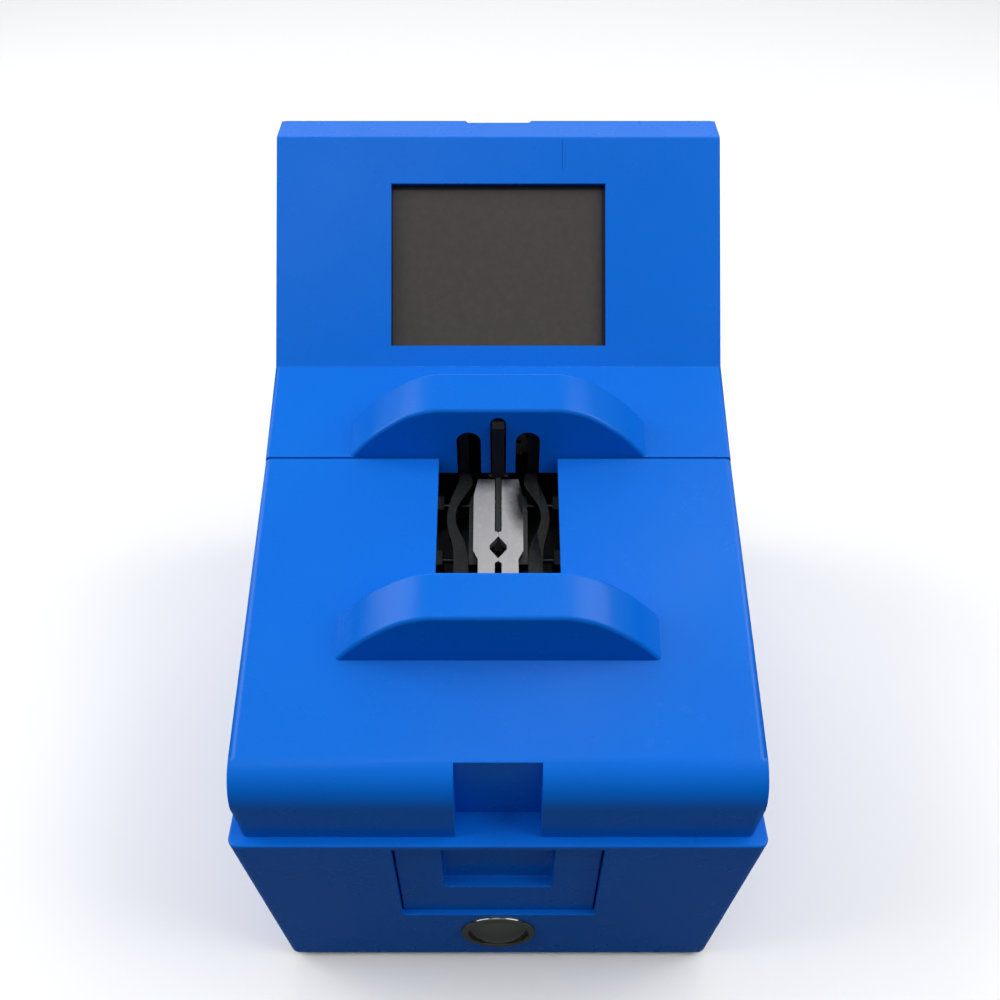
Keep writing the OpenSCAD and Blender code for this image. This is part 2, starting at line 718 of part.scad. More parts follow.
// Jaw plate seen from above: clamping edge at x = 0, diamond nest, chamfered nose
module jaw_outline() {
  polygon([[1.75, -6], [10.5, -6], [12.65, -15.6], [12.65, -46.9], [10.2, -51.5], [10.2, -68],
    [1.75, -68], [1.75, -53.7], [0.05, -52.6], [0.05, -51.1], [4.35, -46.2], [4.35, -43.9],
    [0.05, -39], [0.05, -36.6], [1.75, -36]]);
}

// The screws come up from the carrier into blind holes, so the face stays plain
module jaw_plate() {
  difference() {
    translate([0, 0, jaw_top - jaw_t]) linear_extrude(jaw_t) jaw_outline();
    for (y = jaw_screw_y) translate([jaw_screw_x, y, jaw_top - jaw_t - 1])
      cylinder(h = 5.2, r = jaw_screw_r);
  }
}

module right_jaw() {
  color("#c4c4c8") deck_frame() jaw_plate();
}

module left_jaw() {
  color("#c4c4c8") deck_frame() mirror([1, 0, 0]) jaw_plate();
}

// Carrier of the right jaw, with its rack behind the pinion
module jaw_carrier() {
  tooth_step = jaw_pinion_r * 2 * 3.14159 / jaw_teeth;
  foot_t = jaw_top - jaw_t - rod_z - 4;
  rack_y = jaw_pin_y + jaw_pinion_r + 1.3;
  difference() {
    union() {
      translate([3.4, jaw_pin_y - 7, rod_z + 4 - e]) cube([5.6, 14, foot_t + e]);
      translate([2.4, rod_y[0] - 4, rod_z - 4]) cube([13, rod_y[1] - rod_y[0] + 8, 8]);
      translate([2.4, rack_y, rack_z]) cube([10, 3, rod_z - 3.5 - rack_z]);
      translate([-12, rack_y, rack_z]) cube([24, 3, 5]);
      for (k = [-2 : 2]) translate([k * tooth_step, jaw_pin_y + jaw_pinion_r, rack_z])
        linear_extrude(5) polygon([[-0.9, 1.4], [-0.32, -0.7], [0.32, -0.7], [0.9, 1.4]]);
    }
    for (y = rod_y) translate([-30, y, rod_z]) rotate([0, 90, 0])
      cylinder(h = 60, r = rod_r + run_c);
    for (y = jaw_screw_y) translate([jaw_screw_x, y, rod_z + 6])
      cylinder(h = 30, r = jaw_screw_r);
  }
}

module right_jaw_carrier() {
  color("#8c9094") deck_frame() jaw_carrier();
}

module left_jaw_carrier() {
  color("#8c9094") deck_frame() translate([0, 2 * jaw_pin_y, 0]) mirror([0, 1, 0])
    mirror([1, 0, 0]) jaw_carrier();
}

module jaw_screw_pair() {
  for (y = jaw_screw_y) translate([jaw_screw_x, y, rod_z + 8])
    cylinder(h = jaw_top - jaw_t - rod_z - 4, r = jaw_screw_r);
}

module right_jaw_screws() {
  color("#55585c") deck_frame() jaw_screw_pair();
}

module left_jaw_screws() {
  color("#55585c") deck_frame() translate([0, 2 * jaw_pin_y, 0]) mirror([0, 1, 0])
    mirror([1, 0, 0]) jaw_screw_pair();
}

module jaw_rods() {
  color("silver") deck_frame() for (y = rod_y) translate([-34, y, rod_z]) rotate([0, 90, 0])
    cylinder(h = 68, r = rod_r);
}

module jaw_rod_blocks() {
  color("#3a3d41") deck_frame() for (sx = [-1, 1], y = rod_y) difference() {
    translate([sx * 31.5 - 2.5, y - 4, plate_top]) cube([5, 8, rod_z - plate_top + 4]);
    translate([-40, y, rod_z]) rotate([0, 90, 0]) cylinder(h = 80, r = rod_r);
  }
}

module jaw_pinion() {
  color("#d8d2bc") deck_frame() translate([0, jaw_pin_y, rack_z - 0.5]) linear_extrude(6)
    gear_outline(jaw_pinion_r, jaw_teeth, 1.5, 180 / jaw_teeth);
}

module jaw_motor() {
  color("#9fa3a6") deck_frame() gear_motor([0, jaw_pin_y], rack_z + 5);
}

module blade() {
  color("#141416") deck_frame() {
    translate([-1.3, -36, jaw_top - 8]) cube([2.6, 33, 8]);
    translate([-5, -4.5, -38]) cube([10, 9, 26]);
    translate([-fin_t / 2, 0, 0]) rotate([90, 0, 90]) linear_extrude(fin_t)
      polygon([[-4.5, -20], [-5.4, -13], [3.4, 16], [4.8, 20.4], [7, 22.2], [9.6, 22.2], [7.4, 14],
        [4.5, -20]]);
  }
}

module blade_carrier() {
  p = blade_pitch_r * 2 * 3.14159 / blade_teeth;
  color("#8c9094") deck_frame() difference() {
    union() {
      translate([-6, -4.5, blade_base + 3.2]) cube([12, 34, -38 - blade_base - 3.2]);
      translate([-6, -4.5, blade_base - 2]) cube([5, 56, 7]);
      translate([-6, -4.5, blade_base - 2]) cube([10.4, 56, 4.8]);
      for (k = [-2 : 6]) translate([blade_rack_x - 0.8, 34 + (k - 2) * p, blade_base - 2])
        linear_extrude(4.8) polygon([[-1, -0.9], [1.5, -0.32], [1.5, 0.32], [-1, 0.9]]);
    }
    translate([-2.6, -10, blade_base - 4]) cube([5.2, 80, 4.4]);
  }
}

module blade_rail() {
  color("silver") deck_frame() translate([-2.3, -6, plate_top]) cube([4.6, 60, 7 - 0.1]);
}

module blade_pinion() {
  color("#d8d2bc") deck_frame() translate([motor_places[2][0], motor_places[2][1], blade_base - 2.6])
    linear_extrude(5.4) gear_outline(blade_pitch_r, blade_teeth, 1.5, 180 / blade_teeth);
}

module blade_motor() {
  color("#9fa3a6") deck_frame() gear_motor(motor_places[2], blade_base + 2);
}

module main_board() {
  color("#1d5a32") difference() {
    box_at(-board_x, board_x, board_y[0], board_y[1], floor_z + 8, board_top);
    for (x = [-1, 1], y = board_hole_y) translate([x * (board_x - 6), y, 0])
      cylinder(h = 40, r = 1.6);
  }
}

module board_standoffs() {
  color("#c8a850") for (x = [-1, 1], y = board_hole_y)
    translate([x * (board_x - 6), y, floor_z]) {
      cylinder(h = 8, r = 3);
      translate([0, 0, 7]) cylinder(h = 4, r = 1.5);
      translate([0, 0, 9.6]) cylinder(h = 1.6, r = 2.8);
    }
}

// Sockets, chips and capacitors, and the socket of the display cable
module board_parts() {
  z = board_top;
  y0 = board_y[0];
  color("#2b2d30") {
    for (k = [0 : 4]) box_at(-80 + k * 22, -70 + k * 22, y0 + 8, y0 + 18, z, z + 11);
    for (k = [0 : 2]) box_at(-70 + k * 30, -56 + k * 30, y0 + 34, y0 + 48, z, z + 2);
    for (k = [0 : 3]) translate([30 + k * 14, y0 + 54, z]) cylinder(h = 16, r = 5);
    box_at(-60, -20, y0 + 62, y0 + 70, z, z + 9);
  }
}

module power_supply() {
  color("#a8acb0") difference() {
    box_at(supply_x, supply_x + supply_w, supply_y[0], supply_y[1], floor_z, floor_z + 48);
    for (k = [0 : 7]) box_at(supply_x + supply_w - 4, supply_x + supply_w + 1, -50 + k * 11,
      -45 + k * 11, floor_z + 16, floor_z + 38);
  }
}

module power_inlet() {
  color("#161618") inlet_frame() difference() {
    union() {
      box_at(-13.8, 13.8, -28, 0.1, -23.8, 2);
      box_at(-13.8, 13.8, -12, 0.1, 1, 23.8);
      box_at(-17, 17, 0, 1.6, -28, 28);
    }
    difference() {
      box_at(-12, 12, -17, 3, -20, -3);
      for (x = [-7, 0, 7]) box_at(x - 1, x + 1, -18, -6, -14, -9);
    }
    box_at(-10.4, 10.4, -9.5, 3, 5, 20);
  }
}

module power_switch() {
  color("#9c1b1b") inlet_frame() translate([0, switch_y, 12.5]) {
    rotate([0, 90, 0]) translate([0, 0, -9.5]) cylinder(h = 19, r = 3.6);
    translate([-9.5, -1, -6.2]) cube([19, 4.2, 12.4]);
  }
}

// A round cable along a cubic curve that leaves p[0] and meets p[3]
function curve(p, t) = pow(1 - t, 3) * p[0] + 3 * t * pow(1 - t, 2) * p[1]
  + 3 * t * t * (1 - t) * p[2] + pow(t, 3) * p[3];
function slope(p, t) = let(d = curve(p, min(t + 0.01, 1)) - curve(p, max(t - 0.01, 0))) d / norm(d);
function ring(p, t, r, sides) = let(
    d = slope(p, t),
    u = cross([1, 0.2, 0.1], d) / norm(cross([1, 0.2, 0.1], d)),
    v = cross(d, u))
  [for (k = [0 : sides - 1]) curve(p, t) + r * (cos(k * 360 / sides) * u + sin(k * 360 / sides) * v)];

module cable(p, r, rings = 18, sides = 8) {
  points = [for (i = [0 : rings]) each ring(p, i / rings, r, sides)];
  sides_faces = [for (i = [0 : rings - 1], k = [0 : sides - 1]) each [
    [i * sides + k, i * sides + (k + 1) % sides, (i + 1) * sides + k],
    [i * sides + (k + 1) % sides, (i + 1) * sides + (k + 1) % sides, (i + 1) * sides + k]]];
  ends = [[for (k = [sides - 1 : -1 : 0]) k], [for (k = [0 : sides - 1]) rings * sides + k]];
  polyhedron(points, concat([for (f = sides_faces) [f[0], f[1], f[2]]], ends));
}

function deck_point(p) = [p[0], -seam_y + p[1] * cos(deck_a) - p[2] * sin(deck_a),
  seam_z + p[1] * sin(deck_a) + p[2] * cos(deck_a)];
function panel_point(p) = [p[0], crease_y + p[1] * cos(panel_a) - p[2] * sin(panel_a),
  crease_z + p[1] * sin(panel_a) + p[2] * cos(panel_a)];

module drive_cables() {
  socket_top = board_top + 11.3;
  motor_end = plate_top - plate_t - 19 - motor_l + 10;
  color("#202022") {
    for (k = [0 : 2]) {
      from = deck_point([motor_places[k][0], motor_places[k][1], motor_end - 0.3]);
      to = [[-31, -9, 13][k], board_y[0] + 13, socket_top];
      cable([from, from + [0, k == 2 ? 6 : 24, k == 2 ? -30 : -4], to + [0, 0, 55], to], 1.4);
    }
    switch_end = [0, button_y + 40.6, button_z - 1.4];
    button_socket = [-53, board_y[0] + 13, socket_top];
    cable([switch_end, switch_end + [0, 60, -4], button_socket + [0, 0, 30], button_socket], 1.2);
    inlet_end = [inlet_x, rim_back - 31.4, inlet_z - 8];
    supply_end = [supply_x + 15, 40.4, floor_z + 32];
    cable([inlet_end, inlet_end - [0, 40, 0], supply_end + [0, 55, 8], supply_end], 2.5);
    board_socket = [-75, board_y[0] + 13, socket_top];
    feed_end = supply_end + [6, 0, -14];
    cable([feed_end, feed_end + [0, 22, 0], board_socket + [0, 0, 24], board_socket], 1.6);
    screen_end = panel_point([-10, win_up + 61, -wall - 20.2]);
    screen_socket = [-40, board_y[0] + 66, board_top + 9.3];
    cable([screen_end, screen_end + [0, 18, -18], screen_socket + [0, 0, 64], screen_socket], 2);
  }
}

base_tray();
front_lid();
rear_housing();
rear_door();
door_hinge_pins();
door_magnet();
drawer_front();
drawer_tray();
drawer_runners();
button_bezel();
button_cap();
button_spring();
button_switch();
rubber_feet();
foot_screws();
housing_screws();
lid_dowels();
display_gasket();
display_panel();
display_frame();
display_board();
display_screws();
mechanism_plate();
side_brackets();
bracket_screws();
claw_pivot_pins();
left_claw();
right_claw();
claw_drive_gear();
claw_motor();
left_jaw();
right_jaw();
left_jaw_carrier();
right_jaw_carrier();
left_jaw_screws();
right_jaw_screws();
jaw_rods();
jaw_rod_blocks();
jaw_pinion();
jaw_motor();
blade();
blade_carrier();
blade_rail();
blade_pinion();
blade_motor();
main_board();
board_standoffs();
board_parts();
power_supply();
power_inlet();
power_switch();
drive_cables();
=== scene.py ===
import math

import bmesh
import bpy
from mathutils import Matrix, Vector


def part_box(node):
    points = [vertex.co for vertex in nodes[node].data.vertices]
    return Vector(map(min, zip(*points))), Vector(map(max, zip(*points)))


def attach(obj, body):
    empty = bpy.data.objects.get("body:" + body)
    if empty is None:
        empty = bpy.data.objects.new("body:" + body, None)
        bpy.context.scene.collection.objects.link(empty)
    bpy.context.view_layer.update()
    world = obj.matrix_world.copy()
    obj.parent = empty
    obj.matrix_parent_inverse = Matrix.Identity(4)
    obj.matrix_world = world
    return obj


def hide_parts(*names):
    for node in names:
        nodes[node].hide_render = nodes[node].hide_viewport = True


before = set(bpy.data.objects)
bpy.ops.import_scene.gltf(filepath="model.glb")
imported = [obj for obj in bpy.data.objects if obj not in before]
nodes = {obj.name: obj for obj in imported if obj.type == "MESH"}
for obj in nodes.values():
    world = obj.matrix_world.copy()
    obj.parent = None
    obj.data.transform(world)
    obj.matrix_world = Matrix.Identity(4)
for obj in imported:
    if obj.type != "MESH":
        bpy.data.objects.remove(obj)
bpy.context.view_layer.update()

mm = 0.001
scene = bpy.context.scene


def nodeBox(name):
    low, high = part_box(name)
    return low / mm, high / mm


baseLow, baseHigh = nodeBox("base_tray")
lidLow, lidHigh = nodeBox("front_lid")
houseLow = nodeBox("rear_housing")[0]
doorLow, doorHigh = nodeBox("rear_door")
drawerLow, drawerHigh = nodeBox("drawer_front")
bezelLow, bezelHigh = nodeBox("button_bezel")
print("frame loaded,", len(nodes), "nodes")

# shape of the machine, in millimetres and degrees
shape = {
    "deckSlope": 17.5,
    "panelSlope": 44.2,
    "noseRadius": 21.0,
    "noseHeight": 25.5,
    "creaseY": 50.0,
    "panelLength": 124.7,
    "wall": 3.5,
    "frontDraft": 5.0,
    "sideDraft": 9.5,
}
rimZ = baseHigh.z
coverX = lidHigh.x
coverBack = baseHigh.y - 5.0
deckTan = math.tan(math.radians(shape["deckSlope"]))
deckCos = math.cos(math.radians(shape["deckSlope"]))
noseY = lidLow.y + shape["noseRadius"]
noseZ = rimZ + shape["noseHeight"]
deckStartY = noseY - shape["noseRadius"] * math.sin(math.radians(shape["deckSlope"]))
deckStartZ = noseZ + shape["noseRadius"] * deckCos
frontTan = shape["frontDraft"] / (baseHigh.z - baseLow.z)


def deckZ(y):
    return deckStartZ + (y - deckStartY) * deckTan


seamY = (lidHigh.y + houseLow.y) / 2
creaseZ = deckZ(shape["creaseY"])
panelAngle = math.radians(shape["panelSlope"])
topY = shape["creaseY"] + shape["panelLength"] * math.cos(panelAngle)
topZ = creaseZ + shape["panelLength"] * math.sin(panelAngle)


def frontY(z):
    return baseLow.y + (rimZ - z) * frontTan


def backY(z):
    return baseHigh.y - (rimZ - z) * frontTan


deckFrame = Matrix.Translation((0, seamY, deckZ(seamY))) @ Matrix.Rotation(
    math.radians(shape["deckSlope"]), 4, "X")
panelFrame = Matrix.Translation((0, shape["creaseY"], creaseZ)) @ Matrix.Rotation(panelAngle, 4, "X")


def deckPoint(x, y, z):
    return tuple((deckFrame @ Vector((x, y, z))) * mm)


# Shader groups


def makeGroup(name, inputs, outputs):
    group = bpy.data.node_groups.new(name, "ShaderNodeTree")
    for label, kind, value in inputs:
        socket = group.interface.new_socket(name=label, in_out="INPUT", socket_type=kind)
        if value is not None:
            socket.default_value = value
    for label, kind in outputs:
        group.interface.new_socket(name=label, in_out="OUTPUT", socket_type=kind)
    start = group.nodes.new("NodeGroupInput")
    end = group.nodes.new("NodeGroupOutput")
    return group, start, end


def mathNode(tree, operation, a, b=None, clamp=False):
    node = tree.nodes.new("ShaderNodeMath")
    node.operation = operation
    node.use_clamp = clamp
    for i, value in enumerate((a, b)):
        if value is None:
            continue
        if isinstance(value, (int, float)):
            node.inputs[i].default_value = value
        else:
            tree.links.new(value, node.inputs[i])
    return node.outputs[0]


def noiseNode(tree, vector, scale, detail=4.0, rough=0.55):
    node = tree.nodes.new("ShaderNodeTexNoise")
    tree.links.new(vector, node.inputs["Vector"])
    if isinstance(scale, (int, float)):
        node.inputs["Scale"].default_value = scale
    else:
        tree.links.new(scale, node.inputs["Scale"])
    node.inputs["Detail"].default_value = detail
    node.inputs["Roughness"].default_value = rough
    return node.outputs["Fac"]


def rangeNode(tree, value, low, high, outLow, outHigh):
    node = tree.nodes.new("ShaderNodeMapRange")
    tree.links.new(value, node.inputs["Value"])
    for label, number in (("From Min", low), ("From Max", high), ("To Min", outLow), ("To Max", outHigh)):
        if isinstance(number, (int, float)):
            node.inputs[label].default_value = number
        else:
            tree.links.new(number, node.inputs[label])
    return node.outputs["Result"]


def mixColour(tree, factor, a, b, blend="MIX"):
    node = tree.nodes.new("ShaderNodeMix")
    node.data_type = "RGBA"
    node.blend_type = blend
    tree.links.new(factor, node.inputs["Factor"])
    for socket, value in ((node.inputs[6], a), (node.inputs[7], b)):
        if isinstance(value, tuple):
            socket.default_value = value
        else:
            tree.links.new(value, socket)
    return node.outputs[2]


# broad and fine mottling of a colour, with rubbed edges
def makeToneGroup():
    group, start, end = makeGroup("toneAndWear", [
        ("Vector", "NodeSocketVector", None),
        ("Colour", "NodeSocketColor", (0.5, 0.5, 0.5, 1)),
        ("Dark Colour", "NodeSocketColor", (0.3, 0.3, 0.3, 1)),
        ("Worn Colour", "NodeSocketColor", (0.8, 0.8, 0.8, 1)),
        ("Patch Scale", "NodeSocketFloat", 12.0),
        ("Mottle", "NodeSocketFloat", 0.3),
        ("Wear", "NodeSocketFloat", 0.3),
    ], [("Colour", "NodeSocketColor"), ("Wear Mask", "NodeSocketFloat")])
    broad = noiseNode(group, start.outputs["Vector"], start.outputs["Patch Scale"], 3.0)
    broad = rangeNode(group, broad, 0.35, 0.7, 0.0, 1.0)
    toned = mixColour(group, mathNode(group, "MULTIPLY", broad, start.outputs["Mottle"]),
                      start.outputs["Colour"], start.outputs["Dark Colour"])
    geometry = group.nodes.new("ShaderNodeNewGeometry")
    edge = rangeNode(group, geometry.outputs["Pointiness"], 0.53, 0.62, 0.0, 1.0)
    broken = noiseNode(group, start.outputs["Vector"], 420.0, 5.0, 0.7)
    broken = rangeNode(group, broken, 0.52, 0.68, 0.0, 1.0)
    mask = mathNode(group, "MULTIPLY", edge, broken)
    mask = mathNode(group, "MULTIPLY", mask, start.outputs["Wear"], True)
    group.links.new(mixColour(group, mask, toned, start.outputs["Worn Colour"]), end.inputs["Colour"])
    group.links.new(mask, end.inputs["Wear Mask"])
    return group


# roughness that wanders between two values, and a height for a fine grain
def makeGrainGroup():
    group, start, end = makeGroup("fineGrain", [
        ("Vector", "NodeSocketVector", None),
        ("Grain Scale", "NodeSocketFloat", 900.0),
        ("Ripple Scale", "NodeSocketFloat", 60.0),
        ("Ripple Share", "NodeSocketFloat", 0.5),
        ("Rough Low", "NodeSocketFloat", 0.3),
        ("Rough High", "NodeSocketFloat", 0.45),
    ], [("Roughness", "NodeSocketFloat"), ("Height", "NodeSocketFloat")])
    fine = noiseNode(group, start.outputs["Vector"], start.outputs["Grain Scale"], 3.0, 0.6)
    ripple = noiseNode(group, start.outputs["Vector"], start.outputs["Ripple Scale"], 2.0, 0.4)
    smudge = noiseNode(group, start.outputs["Vector"], 18.0, 5.0, 0.65)
    rough = rangeNode(group, smudge, 0.3, 0.72, start.outputs["Rough Low"], start.outputs["Rough High"])
    group.links.new(rough, end.inputs["Roughness"])
    fineShare = mathNode(group, "SUBTRACT", 1.0, start.outputs["Ripple Share"])
    height = mathNode(group, "ADD", mathNode(group, "MULTIPLY", fine, fineShare),
                      mathNode(group, "MULTIPLY", ripple, start.outputs["Ripple Share"]))
    group.links.new(height, end.inputs["Height"])
    return group


# a light film of dust that settles on faces that look up
def makeDustGroup():
    group, start, end = makeGroup("settledDust", [
        ("Vector", "NodeSocketVector", None),
        ("Colour", "NodeSocketColor", (0.5, 0.5, 0.5, 1)),
        ("Dust Colour", "NodeSocketColor", (0.6, 0.58, 0.55, 1)),
        ("Amount", "NodeSocketFloat", 0.05),
    ], [("Colour", "NodeSocketColor")])
    geometry = group.nodes.new("ShaderNodeNewGeometry")
    split = group.nodes.new("ShaderNodeSeparateXYZ")
    group.links.new(geometry.outputs["Normal"], split.inputs[0])
    up = rangeNode(group, split.outputs["Z"], 0.2, 1.0, 0.0, 1.0)
    speck = noiseNode(group, start.outputs["Vector"], 260.0, 6.0, 0.75)
    speck = rangeNode(group, speck, 0.42, 0.75, 0.0, 1.0)
    mask = mathNode(group, "MULTIPLY", mathNode(group, "MULTIPLY", up, speck),
                    start.outputs["Amount"], True)
    group.links.new(mixColour(group, mask, start.outputs["Colour"], start.outputs["Dust Colour"]),
                    end.inputs["Colour"])
    return group


# long fine lines left by grinding or drawing, along one axis
def makeBrushGroup():
    group, start, end = makeGroup("brushLines", [
        ("Vector", "NodeSocketVector", None),
        ("Stretch", "NodeSocketVector", (1.0, 1.0, 1.0)),
        ("Rough Low", "NodeSocketFloat", 0.2),
        ("Rough High", "NodeSocketFloat", 0.4),
    ], [("Roughness", "NodeSocketFloat"), ("Height", "NodeSocketFloat")])
    scale = group.nodes.new("ShaderNodeVectorMath")
    scale.operation = "MULTIPLY"
    group.links.new(start.outputs["Vector"], scale.inputs[0])
    group.links.new(start.outputs["Stretch"], scale.inputs[1])
    lines = noiseNode(group, scale.outputs[0], 1.0, 5.0, 0.7)
    group.links.new(rangeNode(group, lines, 0.3, 0.7, start.outputs["Rough Low"],
                              start.outputs["Rough High"]), end.inputs["Roughness"])
    group.links.new(lines, end.inputs["Height"])
    return group


# painted shade: a dark patch that fades out round a point, with a cloudy edge, standing in for the shadow the hood
# casts on the top ends of the jaws
def makePaintedShadeGroup():
    group, start, end = makeGroup("paintedHoodShade", [
        ("Vector", "NodeSocketVector", None),
        ("Colour", "NodeSocketColor", (0.5, 0.5, 0.5, 1)),
        ("Shade Colour", "NodeSocketColor", (0.02, 0.02, 0.02, 1)),
        ("Centre", "NodeSocketVector", (0.0, 0.0, 0.0)),
        ("Stretch", "NodeSocketVector", (1.0, 1.0, 1.0)),
        ("Radius", "NodeSocketFloat", 0.01),
    ], [("Colour", "NodeSocketColor"), ("Shade Mask", "NodeSocketFloat")])
    away = group.nodes.new("ShaderNodeVectorMath")
    away.operation = "SUBTRACT"
    group.links.new(start.outputs["Vector"], away.inputs[0])
    group.links.new(start.outputs["Centre"], away.inputs[1])
    scale = group.nodes.new("ShaderNodeVectorMath")
    scale.operation = "MULTIPLY"
    group.links.new(away.outputs[0], scale.inputs[0])
    group.links.new(start.outputs["Stretch"], scale.inputs[1])
    length = group.nodes.new("ShaderNodeVectorMath")
    length.operation = "LENGTH"
    group.links.new(scale.outputs[0], length.inputs[0])
    ratio = mathNode(group, "DIVIDE", length.outputs["Value"], start.outputs["Radius"])
    cloud = noiseNode(group, start.outputs["Vector"], 130.0, 4.0, 0.6)
    ratio = mathNode(group, "ADD", ratio, mathNode(group, "MULTIPLY", cloud, 0.5))
    mask = rangeNode(group, ratio, 0.65, 1.35, 1.0, 0.0)
    mask = mathNode(group, "MULTIPLY", mask, 1.0, True)
    group.links.new(mixColour(group, mask, start.outputs["Colour"], start.outputs["Shade Colour"]),
                    end.inputs["Colour"])
    group.links.new(mask, end.inputs["Shade Mask"])
    return group


toneGroup = makeToneGroup()
grainGroup = makeGrainGroup()
dustGroup = makeDustGroup()
brushGroup = makeBrushGroup()
paintedShadeGroup = makePaintedShadeGroup()
print("shader groups made")

# Materials

